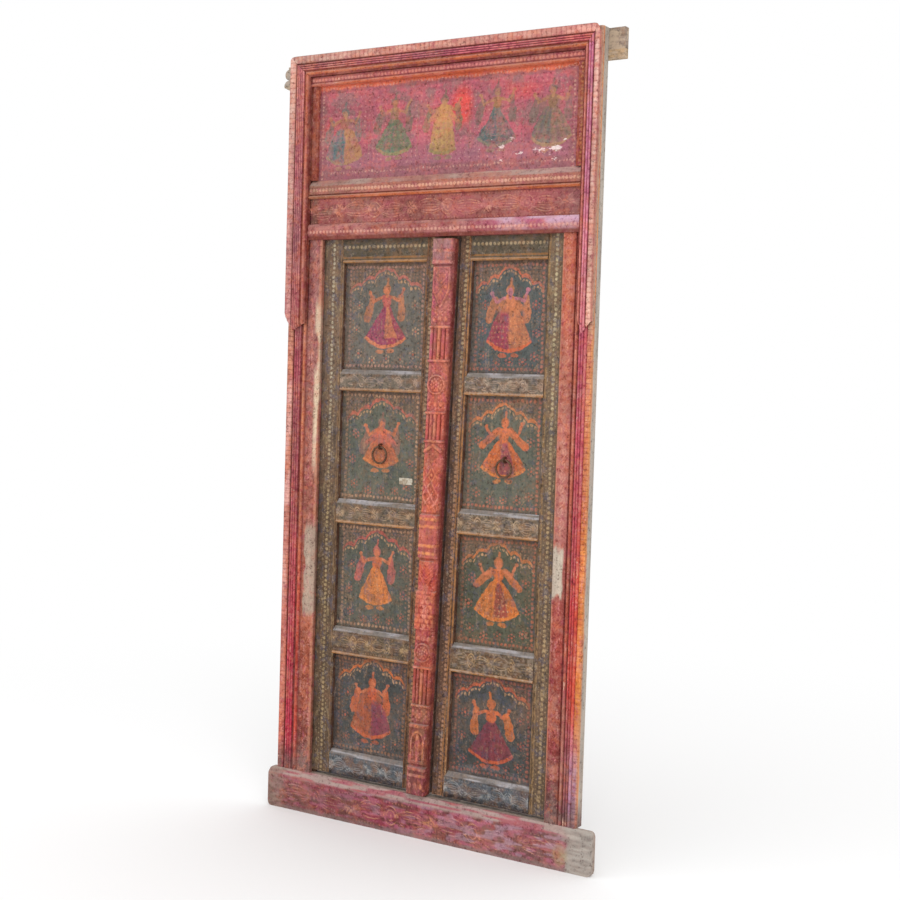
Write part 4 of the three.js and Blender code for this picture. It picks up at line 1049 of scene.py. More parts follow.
railLooks = {
    "bottom_rail": {"pitch": 128, "reach": 18, "dots": 9.0, "dotGap": 4.5, "seed": 21, "tone": (88, 97, 104),
                    "mark": (158, 158, 156)},
    "lower_rail": {"pitch": 118, "reach": 20, "dots": 9.0, "dotGap": 4.5, "seed": 25, "tone": (95, 80, 62),
                   "mark": (178, 145, 104)},
    "lock_rail": {"pitch": 118, "reach": 18, "dots": 9.0, "dotGap": 4.5, "seed": 29, "tone": (105, 93, 77),
                  "mark": (180, 148, 114)},
    "upper_rail": {"pitch": 118, "reach": 15, "dots": 9.0, "dotGap": 4.0, "seed": 33, "tone": (106, 98, 86),
                   "mark": (176, 148, 128)},
    "top_rail": {"seed": 5, "tone": (92, 82, 66), "mark": (176, 152, 116)},
}
railTones = coloured({"line": (176, 116, 54), "mud": (112, 76, 58), "arris": (190, 128, 66),
                      "ledge": (116, 110, 104), "footLedge": (94, 92, 94), "wash": (196, 195, 203),
                      "flecks": (186, 166, 146), "gapShadeAndSoot": (34, 28, 32)})


def makeRail(side, railName):
    # scrolls between a raised lower arris and a dusty sloped ledge; on the top rail a row of dots, no ledge
    leaf, look, node = leafSpecs[side], coloured(railLooks[railName]), side + "_" + railName
    low, high = millimetres(node)
    bottom, top = low[2], high[2]
    first, last = railName == "bottom_rail", railName == "top_rail"
    # the ends reach a little way into the stiles, under their raised edges
    reaches = (leaf["panelStart"] - 3.0, leaf["panelEnd"] + 1.0)
    ends = sorted(leaf["pivot"] + leaf["towards"] * reach for reach in reaches)
    faceTop = top - (0 if last else 12)
    middle = (bottom + (0 if first else 7) + faceTop) / 2

    def carve(u, z):
        v = z - middle
        if last:
            marks = beadRow(u, v - 4, 13.0, 4.6)
            height = marks * 0.4
            ground = coats(look["tone"], (marks * 0.65, look["mark"]),
                           (lineAt(z, bottom + 14, 1.6, 3.2) * 0.65, railTones["line"]))
        else:
            marks = height = scroll(u - (ends[0] + ends[1]) / 2, v, look)
            mud = patchy(u / 22, z / 12, look["seed"] + 9, 0.35, 0.75)
            ground = coats(look["tone"], (mud * 0.5, railTones["mud"]), (marks * 0.72, look["mark"]))
        arris = lineAt(z, bottom + 3.5, 2.4, 5.0) * (not first)
        ledge = ease(z, faceTop - 1, faceTop + 2) * (not last)
        wash = patchy(u / 46, z / 4, len(railName) + len(side), 0.35, 0.8) * (1 if first else 0.85)
        flecks = patchy(u / 7, z / 4.5, look["seed"] + 60, 0.5, 0.7) * (1 - ledge)
        flecks = flecks * (0.1 if first or last else 1) * (0.14 if side == "left" else 0.36)
        # damp and dirt have blackened the very foot and the very top of a leaf, with painted shade where they
        # meet the sill and the transom
        gapShadeAndSoot = (1 - ease(z, bottom + 6, bottom + 19)) * first + ease(z, top - 9, top - 2) * last
        paint = coats(ground, (arris * (0.5 + 0.4 * cloud(u / 18, z / 9, 3)), railTones["arris"]),
                      (ledge, railTones["footLedge" if first else "ledge"]),
                      (ledge * wash, railTones["wash"]), (flecks, railTones["flecks"]),
                      (gapShadeAndSoot * (0.55 + 0.5 * cloud(u / 24, z / 8, 71)), railTones["gapShadeAndSoot"]))
        crest = np.clip(0.55 + 0.3 * marks + 0.35 * arris, 0, 1)
        return 1.3 * height * (1 - ledge) * (1 - arris), crest, paint

    outline = [(bottom, 23.6), (bottom, 0)]
    outline += [] if first else [(bottom + 3.5, -3), (bottom + 7, 0)]
    outline += [(top, 0)] if last else [(top - 12, 0), (top, 10)]
    outline.append((top, 23.6))
    boardPiece(node + "_carved", node, ends, leafFace, outline, carve, leaf["body"], darkAcross,
               2.2, 1.8, lambda u, z: leanAt(leaf, u) * (z - leafSag["level"]))


for side in leafSpecs:
    for railName in railLooks:
        makeRail(side, railName)
print("leaf rails carved")

# the post's carvings by height in millimetres; outlines run anticlockwise from the top left corner
postLook = {
    "half": 30.5, "fineZ": 2.0, "fineX": 1.35,
    "blocks": ((1546, 1640, (1552, 1582)), (762, 880, (776, 796, 848, 868)), (203, 312, (307,)),
               (80, 195, (172, 189))),
    "reeds": ((1294, 1376), (1080, 1148), (366, 462)),
    "wheels": (1227, 506),
    "pearls": ((1401, 17, 6.6, 27.5, 1.0), (1176, 17, 6.6, 27.5, 1.0), (545, 17, 6.6, 27.5, 1.0),
               (144, 18, 6.0, 31.8, 0.8)),
    "shield": ((-26, 1540), (-26, 1478), (0, 1426), (26, 1478), (26, 1540)),
    "heart": ((-16, 1530), (-16, 1484), (0, 1450), (16, 1484), (16, 1530)),
    "leaf": ((-24, 756), (-22, 716), (0, 676), (22, 716), (24, 756)),
    "chevron": 1066, "lattice": (886, 1028), "scales": (569, 673), "niche": (212, 262),
}
postGrounds = ((119, 118, 64, 62), (195, 122, 66, 62), (200, 120, 66, 48), (320, 126, 66, 50),
               (470, 160, 64, 52), (560, 176, 70, 60), (680, 186, 72, 54), (760, 190, 72, 52),
               (765, 180, 88, 78), (878, 190, 96, 86), (884, 196, 98, 70), (1060, 190, 92, 76),
               (1240, 178, 80, 70), (1400, 164, 80, 84), (1545, 162, 96, 98), (1550, 160, 110, 112),
               (1613, 160, 116, 116))
postTones = coloured({"magenta": (176, 84, 116), "bright": (218, 120, 84), "orange": (226, 146, 96),
                      "pink": (222, 160, 146), "moss": (136, 100, 76), "gold": (222, 140, 78),
                      "reeds": (230, 160, 96), "shade": (120, 44, 40), "patch": (206, 120, 110),
                      "rightSideShade": (126, 50, 44), "rightBackShade": (110, 50, 42), "leftBackShade": (130, 60, 50),
                      "leftSideShade": (150, 70, 60)})
postPaint = carvedMaterial("postPaint", dict(lookRed, wear=0.10, fade=0.15, dust=0.3, bump=0.35))


def insideOutline(a, z, corners):
    # 1 inside a convex outline and 0 outside, and the distance past its nearest edge
    corners = np.array(corners, float)
    past = np.full(a.shape, -np.inf)
    for (a0, z0), (a1, z1) in zip(corners, np.roll(corners, -1, 0)):
        past = np.maximum(past, ((a - a0) * (z1 - z0) - (z - z0) * (a1 - a0)) / math.hypot(a1 - a0, z1 - z0))
    return 1 - ease(past, -1.5, 0.2), past


def makePost():
    # stand is how far the face comes out from the leaf, level how much of the brighter paint a point has
    low, high = millimetres("centre_post")
    leaf, half = leafSpecs["left"], postLook["half"]
    middle = leaf["pivot"] + leaf["meeting"] - half
    rows, cols = int((high[2] - low[2]) / postLook["fineZ"]), int(2 * half / postLook["fineX"])
    z, a = np.meshgrid(np.linspace(low[2], high[2], rows), np.linspace(-half, half, cols), indexing="ij")
    off = abs(a)
    stand = np.interp(a, [-half, -24.4, -12.2, 0, 12.2, 24.4, half], [18, 22, 24, 25, 24, 22, 18])
    level = shapes = bands = inBlock = reeds = collars = np.zeros_like(stand)
    for bottom, top, at in postLook["blocks"]:
        inside = within(z, bottom, top, 0.6)
        inBlock = np.maximum(inBlock, inside)
        stand = mixed(inside, stand, 30 - 4 * ease(off, half - 4, half))
        bands = np.maximum.reduce([bands] + [lineAt(z, height, 2.6, 5.2) for height in at])
    stand = stand + 1.5 * bands * inBlock
    reed = np.sqrt(np.clip(1 - ((np.mod(a + 6, 12) - 6) / 5.9) ** 2, 0, 1))
    for bottom, top in postLook["reeds"]:
        inside = within(z, bottom, top, 3)
        reeds = np.maximum(reeds, reed * inside)
        stand = mixed(inside, stand, 18.5 + 9.5 * reed - 0.12 * off)
        collars = np.maximum.reduce([collars, lineAt(z, bottom - 4, 2.5, 4.5), lineAt(z, top + 4, 2.5, 4.5)])
    stand = np.maximum(stand, (27.8 - 3 * ease(off, half - 4, half)) * collars)

    # two wheels with rings of seeds in a dish, and rows of three pearls
    for centre in postLook["wheels"]:
        rim = ovalRing(a, z, 0, centre, 24.5, 24.5, 4.6, 1.0)
        dish = ovalStep(a, z, 0, centre, 22, 22, 1.0)
        seeds = ovalStep(a, z, 0, centre, 3.2, 3.2, 1.0, 1.4)
        for ring, count, start in ((15.5, 10, 0), (8.5, 6, 0.5)):
            for turn in tau * (np.arange(count) + start) / count:
                sideways, up = ring * math.cos(turn), centre + ring * math.sin(turn)
                seeds = np.maximum(seeds, ovalStep(a, z, sideways, up, 2.9, 2.9, 1.0, 1.4))
        stand = mixed(dish, stand, 25.3 + 2.6 * seeds)
        shapes = np.maximum(shapes, 29.2 * rim)
        level = np.maximum.reduce([level, seeds * dish, rim])
    for centre, spacing, wide, rise, bright in postLook["pearls"]:
        for at in (-spacing, 0, spacing):
            pearl = ovalStep(a, z, at, centre, wide, 8, 1.0)
            shapes = np.maximum(shapes, rise * pearl)
            level = np.maximum(level, bright * pearl)

    # a shield with a heart of seeds, a chevron, a lattice of lozenges
    shield, past = insideOutline(a, z, postLook["shield"])
    rim = shield * ease(past, -5.5, -4.0)
    seeds = insideOutline(a, z, postLook["heart"])[0]
    seeds = seeds * np.clip(np.cos(a * tau / 11) * np.cos(z * tau / 11), 0, 1)
    stand = mixed(shield, stand, 26.2) + rim * 2.4 + seeds * 1.8
    chevron = lineAt(z + off * 0.62, postLook["chevron"], 4.5, 7.0) * (1 - ease(off, 27, 29))
    shapes = np.maximum(shapes, 28.3 * chevron)
    level = np.maximum.reduce([level, rim, seeds, chevron])
    foot, head = postLook["lattice"]
    inLattice = ease(z, foot - 2, foot + 2) * (1 - ease(z + off * 0.85, head - 2, head + 2))
    inLattice = inLattice * (1 - ease(off, 25, 27))
    wanderA = a + 4.8 * (cloud(z / 16, a / 14, 47) - 0.5)
    wanderZ = z + 6.0 * (cloud(z / 18, a / 12 + 7, 48) - 0.5)
    lozenge = abs(np.mod((wanderA + 13) / 26, 1) - 0.5) + abs(np.mod((wanderZ - 893) / 38, 1) - 0.5)
    straps = np.maximum(lineAt(lozenge, 0.5, 0.06, 0.14), 1 - ease(lozenge, 0.12, 0.2))
    stand = mixed(inLattice, stand, 25.8 + 1.9 * straps)
    level = np.maximum(level, inLattice * straps)

    # a veined leaf, rows of scales, a niche with a sprig in it
    leafIn, past = insideOutline(a, z, postLook["leaf"])
    rim = leafIn * ease(past, -4.5, -3.0)
    veins = leafIn * (1 - ease(abs(np.mod((z - 0.9 * off) / 9.0, 1) - 0.5) * 9, 0.8, 2.2))
    stand = mixed(leafIn, stand, 26.6 + 1.8 * rim + 1.1 * veins)
    level = np.maximum.reduce([level, rim, veins * 0.7])
    inScales = within(z, *postLook["scales"], 3)
    row = np.floor((z - 572) / 13)
    scaleA = np.mod((a + 9 * np.mod(row, 2)) / 18 + 0.5, 1) - 0.5
    scaleZ = (z - 572) / 13 - row
    scale = 1 - ease(np.sqrt((scaleA / 0.52) ** 2 + (1 - scaleZ) ** 2), 0.82, 1.0)
    stand = mixed(inScales, stand, 25.4 + 1.7 * scale * (1 - 0.3 * scaleZ))
    level = np.maximum(level, inScales * scale)
    foot, spring = postLook["niche"]
    fromMiddle = np.where(z < spring, off, np.sqrt(a ** 2 + ((z - spring) * 0.68) ** 2))
    inNiche = (1 - ease(fromMiddle, 16.2, 17.8)) * ease(z, foot - 1, foot + 1)
    swell = 4 + 5 * np.clip((z - 218) / 40, 0, 1) * np.clip((285 - z) / 30, 0, 1)
    stem = (1 - ease(off - swell, -1, 1)) * inNiche
    sprig = inNiche * np.clip(np.cos(a * tau / 9.5) * np.cos(z * tau / 13.0 + a * 0.2), 0, 1)
    rim = lineAt(fromMiddle, 20, 1.2, 3.0) * ease(z, foot - 3, foot) * (1 - ease(z, 295, 299))
    stand = stand - inNiche * 4.0 + stem * 2.8 + sprig * 1.3
    level = np.maximum.reduce([level, stem * 0.9, sprig * 0.8, rim])

    # beads along both edges, light chasing on what is still plain, nicks
    edgeBeads = lineAt(off, 27.0, 1.0, 2.4) * (1 - inBlock) * (1 - collars)
    edgeBeads = edgeBeads * (1 - ease(abs(np.mod(z / 9.0, 1) - 0.5) * 9, 2.0, 4.0))
    plain = 1 - np.clip(level + inBlock + collars + reeds + inLattice + inScales, 0, 1)
    chasing = np.clip(np.sin(z * tau / 13.0) * np.cos(a * tau / 15.0), 0, 1) * plain * 0.9
    nicks = patchy(z / 14, a / 5 + 9, 41, 0.75, 0.95)
    stand = np.clip(np.maximum(stand, shapes) + 0.9 * edgeBeads + chasing - 0.8 * nicks, 4, 31.9)
    level = np.maximum.reduce([level, 0.75 * edgeBeads, collars, bands * inBlock, chasing * 0.8])

    grounds = np.array(postGrounds, float)
    ground = linearLight(np.stack([np.interp(z, grounds[:, 0], grounds[:, k]) for k in (1, 2, 3)], -1))
    ground = np.concatenate([ground, np.ones(z.shape + (1,))], -1)
    rubbed = patchy(z / 11, a / 7 + 5, 43, 0.25, 0.75)
    bright = coats(postTones["bright"], (patchy(z / 60, a / 25 + 3, 6, 0.3, 0.7), postTones["orange"]),
                   (patchy(z / 40, a / 18, 44, 0.45, 0.7) * 0.7, postTones["pink"]))
    magenta = (1 - ease(a, -26, -8)) * ease(z, 1100, 1300) * (1 - ease(z, 1440, 1540))
    gold = bands * inBlock * ease(z, 700, 760) * (1 - ease(z, 900, 950)) * (0.35 + 0.45 * rubbed)
    paint = coats(ground, (magenta * 0.5, postTones["magenta"]), (level * (0.22 + 0.40 * rubbed), bright),
                  (patchy(z / 26, a / 12, 45, 0.52, 0.72) * 0.38, postTones["moss"]),
                  (gold, postTones["gold"]), (reeds * 0.35 * (off < 7), postTones["reeds"]),
                  (ease(a, half - 9, half - 1) * 0.55, postTones["shade"]),
                  (patchy(z / 34, a / 16, 77, 0.62, 0.85) * 0.35, postTones["patch"]))
    # crest from how far a point stands above its neighbours, so hollows take the dirt-and-shade colour:
    # painted shade as well as dirt
    crest = np.clip(0.34 + 0.5 * np.clip((stand - blurred(stand, 4)) / 3.0 + 0.62, 0, 1) + 0.1 * rubbed, 0, 1)

    # the sides run back to the leaf's face, painted darker than the face and the right side most: painted
    # shade
    ones = np.ones((rows, 1))
    allA = np.concatenate([a, np.array([half, half, -half, -half]) * ones], 1)
    allStand = np.concatenate([stand, np.array([12.0, 0.3, 0.3, 12.0]) * ones], 1)
    allZ = np.concatenate([z, z[:, :4]], 1)
    x = middle + allA
    points = np.stack([x + leanAt(leaf, x) * (allZ - leafSag["level"]), leafFace - allStand, allZ], -1) * mm
    sides = [postTones[key] for key in ("rightSideShade", "rightBackShade", "leftBackShade", "leftSideShade")]
    paint, crest = withCorners(paint, crest, sides, 0.5)
    makePiece("centre_post_carved", points, "left_leaf", postPaint, paint, crest, 60,
              replacing=("centre_post",))


makePost()
print("centre post carved")

sillLook = coloured({
    "pitch": 262, "reach": 27, "dots": 10.0, "dotGap": 7.0, "seed": 40, "corner": 13.0, "fineness": 2.4,
    "bevelHigh": 19, "bevelDeep": 10, "thick": 23, "ground": (108, 62, 60), "crimson": (156, 62, 82),
    "pink": (196, 104, 132), "brown": (132, 76, 54), "maroon": (100, 62, 52), "marks": (204, 136, 92),
    "lilac": (192, 156, 176), "leftDark": (98, 64, 62), "rightGrey": (164, 140, 142), "bevel": (184, 96, 108),
    "bevelPale": (190, 168, 160), "foot": (140, 122, 116), "rightEnd": (150, 146, 138),
    "rightPale": (194, 190, 180), "stain": (178, 160, 104), "leftEnd": (118, 98, 84),
    "leftPale": (166, 146, 132), "back": (170, 152, 138),
})
sillPaint = carvedMaterial("sillPaint",
                           dict(lookRedAcross, warm=colour(196, 90, 70), cool=colour(150, 66, 104),
                                             pale=colour(216, 152, 162), vary=0.3, wear=0.02, fade=0.25))
sillLow, sillHigh = millimetres("sill")
sillFace = sillLow[1] + 4


def carveSill(u, z):
    # worn scrolls under long streaks of crimson, dark maroon, pink, lilac and bare grey, a paler bevel on top
    v = z - 47
    ends = ease(u, sillLow[0] + 30, sillLow[0] + 70)
    ends = np.minimum(ends, 1 - ease(u, sillHigh[0] - 105, sillHigh[0] - 70))
    marks = scroll(u - 60, v, sillLook) * (1 - ease(abs(v), 38, 42)) * ends
    marks = marks * (1 - 0.5 * patchy(u / 50, z / 18, 55, 0.5, 0.75))
    leftThird, rightHalf = 1 - ease(u, -260, -60), ease(u, 40, 300)
    # the bevel is painted paler: worn paint, and painted light on a face that looks up
    bevel = ease(z + 3 * cloud(u / 30, z / 9, 54), sillHigh[2] - 24, sillHigh[2] - 15)
    foot = 1 - ease(z + 6 * cloud(u / 34, z / 8, 58), 8, 20)
    rightEnd = ease(u + 26 * (cloud(z / 12, u / 30, 3) - 0.5), sillHigh[0] - 84, sillHigh[0] - 62)
    leftEnd = 1 - ease(u + 30 * (cloud(z / 12, u / 40, 5) - 0.5), sillLow[0] + 34, sillLow[0] + 74)
    bevelTone = blendColours(patchy(u / 60, z / 5, 57, 0.35, 0.65), sillLook["bevel"], sillLook["bevelPale"])
    rightTone = blendColours(cloud(u / 26, z / 5, 60), sillLook["rightEnd"], sillLook["rightPale"])
    leftTone = blendColours(cloud(u / 20, z / 7, 62), sillLook["leftEnd"], sillLook["leftPale"])
    lilac = patchy(u / 30, z / 9, 53, 0.58, 0.74) * (0.4 - 0.2 * leftThird + 0.25 * rightHalf)
    paint = coats(sillLook["ground"], (patchy(u / 46, z / 13, 51, 0.38, 0.62), sillLook["crimson"]),
                  (patchy(u / 26, z / 8, 52, 0.50, 0.68) * 0.8, sillLook["pink"]),
                  (ease(v, -16, 8) * (1 - ease(v, 14, 30)) * 0.35, sillLook["brown"]),
                  (patchy(u / 16, z / 7, 59, 0.54, 0.72) * 0.6, sillLook["maroon"]),
                  (marks * 0.85, sillLook["marks"]), (lilac, sillLook["lilac"]),
                  (leftThird * 0.34, sillLook["leftDark"]), (rightHalf * 0.2, sillLook["rightGrey"]),
                  (bevel * 0.9, bevelTone), (foot * 0.75, sillLook["foot"]), (rightEnd, rightTone),
                  (ovalStep(u, z, sillHigh[0] - 88, 40, 20, 26, 0.55, 9.0), sillLook["stain"]),
                  (leftEnd * 0.85, leftTone))
    dents = patchy(u / 34, z / 7, 63, 0.60, 0.9)
    return 2.2 * marks - 1.6 * dents * (0.3 + 0.7 * bevel), np.clip(0.55 + 0.4 * marks, 0, 1), paint


def makeSill():
    # a face board with rounded horns and a worn bevel along its top front edge
    count = int((sillHigh[0] - sillLow[0]) / sillLook["fineness"]) + 1
    x = np.linspace(sillLow[0], sillHigh[0], count)[:, None]
    short = roundCorner(np.minimum(x - sillLow[0], sillHigh[0] - x), sillLook["corner"])
    z = short + (sillHigh[2] - 2 * short) * np.linspace(0, 1, 50)
    raised, crest, paint = carveSill(x * np.ones(z.shape), z)
    y = sillFace + sillLook["bevelDeep"] * np.clip((z - sillHigh[2]) / sillLook["bevelHigh"] + 1, 0, 1)
    y = y - raised * (1 - ease(short, 6, 12))
    allY = np.concatenate([y, np.full((count, 2), sillFace + sillLook["thick"])], 1)
    allZ = np.concatenate([z, sillHigh[2] - short, short], 1)
    points = np.stack([x * np.ones(allZ.shape), allY, allZ], -1) * mm
    paint, crest = withCorners(paint, crest, [sillLook["back"]] * 2, 0.6)
    makePiece("sill_face_carved", points, "frame", sillPaint, paint, crest, 45,
              replacing=("sill",))


def sillBodyDrawing(tree, place, ground):
    # painted shade: the sill's top under the leaves is painted near black so the gap beneath them reads dark
    x, y, z = (along * 1000.0 for along in apart(place))
    left = millimetres("left_hinge_stile")[0][0] - 4
    right = millimetres("right_hinge_stile")[1][0] + 4
    under = step(z, sillHigh[2] - 12.0, sillHigh[2] - 4.0) * step(y, sillFace + 26.0, sillFace + 32.0)
    between = step(x, left - 4, left + 4) * step(x, right + 4, right - 4)
    return layer(under * between * 0.95, ground, colour(30, 26, 26))


def makeSillBody():
    # the sill's own solid, cut off behind the carved face board
    mesh = nodes["sill"].data.copy()
    mesh.name = "sill_body"
    work = bmesh.new()
    work.from_mesh(mesh)
    bmesh.ops.remove_doubles(work, verts=work.verts, dist=1e-6)
    bmesh.ops.bisect_plane(work, geom=work.verts[:] + work.edges[:] + work.faces[:], plane_no=(0, -1, 0),
                           plane_co=(0, (sillFace + sillLook["thick"] + 0.2) * mm, 0), clear_outer=True)
    bmesh.ops.holes_fill(work, edges=[edge for edge in work.edges if edge.is_boundary], sides=0)
    bmesh.ops.recalc_face_normals(work, faces=work.faces[:])
    work.to_mesh(mesh)
    work.free()
    mesh.materials.clear()
    wood = plainMaterial("sillBodyWood", colour(150, 124, 106), 0.7, lookWood, sillBodyDrawing)
    mesh.materials.append(wood)
    sillBody = bpy.data.objects.new("sill_body", mesh)
    bpy.context.scene.collection.objects.link(sillBody)
    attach(sillBody, "frame")


makeSill()
makeSillBody()
print("sill made")


def panelDrawing(middle, half, look):
    # a dancer under a cusped arch, dotted borders and florets; middle and half in millimetres
    def drawing(tree, place, ground):
        drawn = useGroup(tree, handDrawn, Place=place, Wander=0.75)
        u, v, kept = drawn["Across"] - middle[0], drawn["Up"] - middle[2], drawn["Kept"]
        wide, tall = half[0], half[2]
        arch = useGroup(tree, cuspArch, Across=u, Up=v, Half=wide - 6)
        rows = dotRow(u, (v / 10.0).op("FRACT") * 10.0 - 5.0, 10.5, 2.4) * arch["Above"]
        inU, inV = (u.op("ABSOLUTE") - (wide - 9)) * -1.0, (v.op("ABSOLUTE") - (tall - 10)) * -1.0
        sides = dotRow(v, inU, 12.0, 4.0) * (step(u, -20.0, 60.0) * 0.35 + 0.5)
        lines = most(sides, dotRow(u, inV, 12.0, 4.0) * 0.85)
        second = most(dotRow(v + 6.0, inU - 11.0, 12.0, 2.2), dotRow(u + 6.0, inV - 11.0, 12.0, 2.2))
        surface = layered(ground, (arch["Above"] * 0.6, look["above"]),
                          (rows * (kept * 0.4 + 0.2), look["seeds"]),
                          (arch["Line"] * (kept * 0.45 + 0.45), look["arch"]),
                          (arch["Dots"] * (kept * 0.5 + 0.35), look["archDots"]),
                          (most(step(inU, 8.0, 4.0), step(inV, 8.0, 4.0)) * 0.4, look["above"]),
                          (lines * (kept * 0.45 + 0.45), look["dots"]),
                          (second * (kept * 0.5 + 0.2), look["seeds"]))
        for across, up in floretPlaces:
            flower = useGroup(tree, floret, Across=u - across * wide / 124, Up=v - up * tall / 136)
            surface = layered(surface, (flower["Petals"] * (kept * 0.5 + 0.2), look["petals"]),
                              (flower["Heart"] * 0.6, look["heart"]))
        figure = useGroup(tree, dancer, Across=u * look["turn"], Up=v - look["rise"], Wide=look["wide"],
                          Long=look["long"], Bell=look["bell"], Waist=look["waist"])
        thin = kept * 0.32 + 0.62
        cloth = layered(look["cloth"], (figure["Right"], look["clothRight"]),
                        (figure["Middle"] * look["middleOn"], look["middle"]),
                        (figure["Pleats"] * 0.22, look["pleat"]))
        surface = layered(surface, (figure["Veil"] * thin * look["veilOn"], look["veil"]),
                          (figure["Sleeves"] * thin * look["sleeveOn"], look["sleeve"]),
                          (figure["Skirt"] * thin, cloth),
                          (figure["Sash"] * thin * look["sashOn"], look["sash"]),
                          (figure["Spots"] * kept * look["spots"], look["spot"]),
                          (figure["Hem"] * thin, look["hem"]),
                          (figure["Shawl"] * thin * look["shawlOn"], look["shawl"]),
                          (figure["Bodice"] * thin, look["bodice"]), (figure["Skin"] * thin, look["skin"]),
                          (figure["Feet"] * thin * 0.7, look["hem"]))
        if look["wash"]:
            # whitish wash left on the lower boards
            ragged = grainAt(stretched(place, 12.0, 12.0, 40.0), 1.0, 5.0, 0.7)
            wet = step(v + tall, 58.0, 0.0)
            mask = step(ragged + wet * 0.26, 0.62, 0.92) * look["wash"] * 0.45
            surface = layer(mask, surface, colour(140, 142, 146))
        return bareBehind(place, surface, middle[1])
    return drawing


floretPlaces = ((-84, 30), (-92, -34), (-86, -96), (-40, -112), (4, -108), (50, -108), (90, 30), (94, -38),
                (88, -96))
panelBase = {
    "ground": (94, 96, 84), "above": (106, 84, 70), "seeds": (160, 112, 88), "arch": (198, 110, 72),
    "archDots": (196, 150, 110), "dots": (196, 150, 118), "petals": (188, 132, 112), "heart": (206, 104, 76),
    "veil": (196, 112, 74), "veilOn": 0.9, "sleeve": (200, 108, 66), "sleeveOn": 0.0, "cloth": (204, 112, 64),
    "clothRight": (200, 110, 64), "middle": (140, 66, 76), "middleOn": 0.0, "pleat": (146, 66, 52),
    "sash": (202, 128, 84), "sashOn": 0.0, "hem": (214, 128, 76), "bodice": (196, 100, 70),
    "shawl": (206, 112, 80), "shawlOn": 0.0, "skin": (202, 116, 80), "spot": (226, 168, 116), "spots": 0.3,
    "wide": 66.0, "long": 118.0, "bell": 1.0, "waist": 34.0, "rise": 0.0, "turn": 1.0, "wash": 0.0,
}
panelLooks = {
    "left_panel_4": {
        "ground": (104, 100, 92), "arch": (190, 108, 94), "dots": (186, 140, 122), "petals": (196, 156, 124),
        "veil": (190, 118, 80), "cloth": (158, 62, 92), "clothRight": (168, 66, 84), "pleat": (122, 50, 76),
        "sash": (198, 124, 84), "sashOn": 0.85, "hem": (208, 126, 86), "bodice": (190, 92, 84), "wide": 92.0,
        "bell": 1.15, "rise": -3.0},
    "left_panel_3": {
        "arch": (196, 104, 84), "petals": (190, 112, 96), "veilOn": 0.35, "veil": (196, 108, 92),
        "shawl": (204, 104, 86), "shawlOn": 0.95, "cloth": (206, 114, 70), "clothRight": (202, 108, 72),
        "bodice": (208, 102, 70), "wide": 68.0, "long": 80.0, "bell": 0.55, "waist": 22.0, "spots": 0.4},
    "left_panel_2": {
        "ground": (84, 86, 76), "arch": (188, 92, 80), "petals": (180, 104, 90), "veil": (188, 98, 88),
        "cloth": (214, 124, 60), "clothRight": (212, 120, 58), "sash": (220, 134, 70), "sashOn": 0.4,
        "hem": (212, 126, 64), "bodice": (206, 106, 64), "wide": 62.0, "long": 108.0, "bell": 0.85,
        "rise": -2.0},
    "left_panel_1": {
        "ground": (70, 72, 70), "above": (86, 66, 56), "seeds": (136, 84, 66), "arch": (204, 108, 54),
        "dots": (158, 108, 78), "petals": (142, 92, 76), "veil": (200, 98, 56), "veilOn": 0.95,
        "cloth": (172, 88, 56), "clothRight": (140, 60, 78), "pleat": (132, 56, 48), "hem": (196, 96, 56),
        "bodice": (200, 92, 56), "shawl": (184, 92, 56), "shawlOn": 0.8, "wide": 74.0, "long": 114.0,
        "bell": 0.42, "waist": 20.0, "rise": 2.0, "spots": 0.0, "wash": 0.7},
    "right_panel_4": {
        "ground": (82, 88, 86), "arch": (200, 108, 78), "dots": (184, 112, 92), "petals": (178, 96, 88),
        "veil": (200, 122, 84), "cloth": (162, 62, 82), "clothRight": (200, 122, 84), "sash": (204, 126, 86),
        "sashOn": 0.7, "shawl": (204, 122, 80), "shawlOn": 0.95, "skin": (190, 116, 130),
        "bodice": (204, 122, 84), "hem": (212, 104, 66), "wide": 76.0, "long": 120.0, "bell": 0.6,
        "waist": 28.0, "spots": 0.45},
    "right_panel_3": {
        "arch": (214, 126, 78), "dots": (200, 116, 88), "petals": (196, 120, 98), "sleeve": (206, 110, 66),
        "sleeveOn": 0.95, "veilOn": 0.0, "cloth": (216, 110, 58), "clothRight": (212, 108, 58),
        "middle": (160, 78, 92), "middleOn": 0.85, "hem": (220, 130, 66), "bodice": (210, 110, 66),
        "skin": (208, 112, 74), "wide": 82.0, "long": 102.0, "bell": 0.8, "waist": 36.0, "spots": 0.35,
        "rise": 2.0},
    "right_panel_2": {
        "ground": (80, 82, 66), "arch": (204, 118, 66), "dots": (184, 104, 76), "petals": (180, 98, 80),
        "sleeve": (204, 112, 64), "sleeveOn": 0.8, "veilOn": 0.0, "cloth": (214, 118, 50),
        "clothRight": (212, 114, 52), "middle": (156, 66, 58), "middleOn": 0.9, "hem": (218, 124, 56),
        "bodice": (212, 108, 54), "wide": 84.0, "long": 112.0, "bell": 0.8, "waist": 38.0, "spots": 0.7,
        "rise": -4.0},
    "right_panel_1": {
        "ground": (68, 70, 68), "above": (92, 68, 56), "seeds": (146, 84, 68), "arch": (200, 98, 62),
        "dots": (166, 92, 76), "petals": (156, 84, 72), "veil": (204, 108, 50), "cloth": (134, 56, 66),
        "clothRight": (128, 52, 66), "pleat": (96, 42, 56), "hem": (200, 94, 56), "bodice": (206, 100, 54),
        "skin": (204, 104, 62), "wide": 86.0, "long": 116.0, "bell": 0.95, "waist": 18.0, "turn": -1.0,
        "spots": 0.0, "wash": 0.75},
}
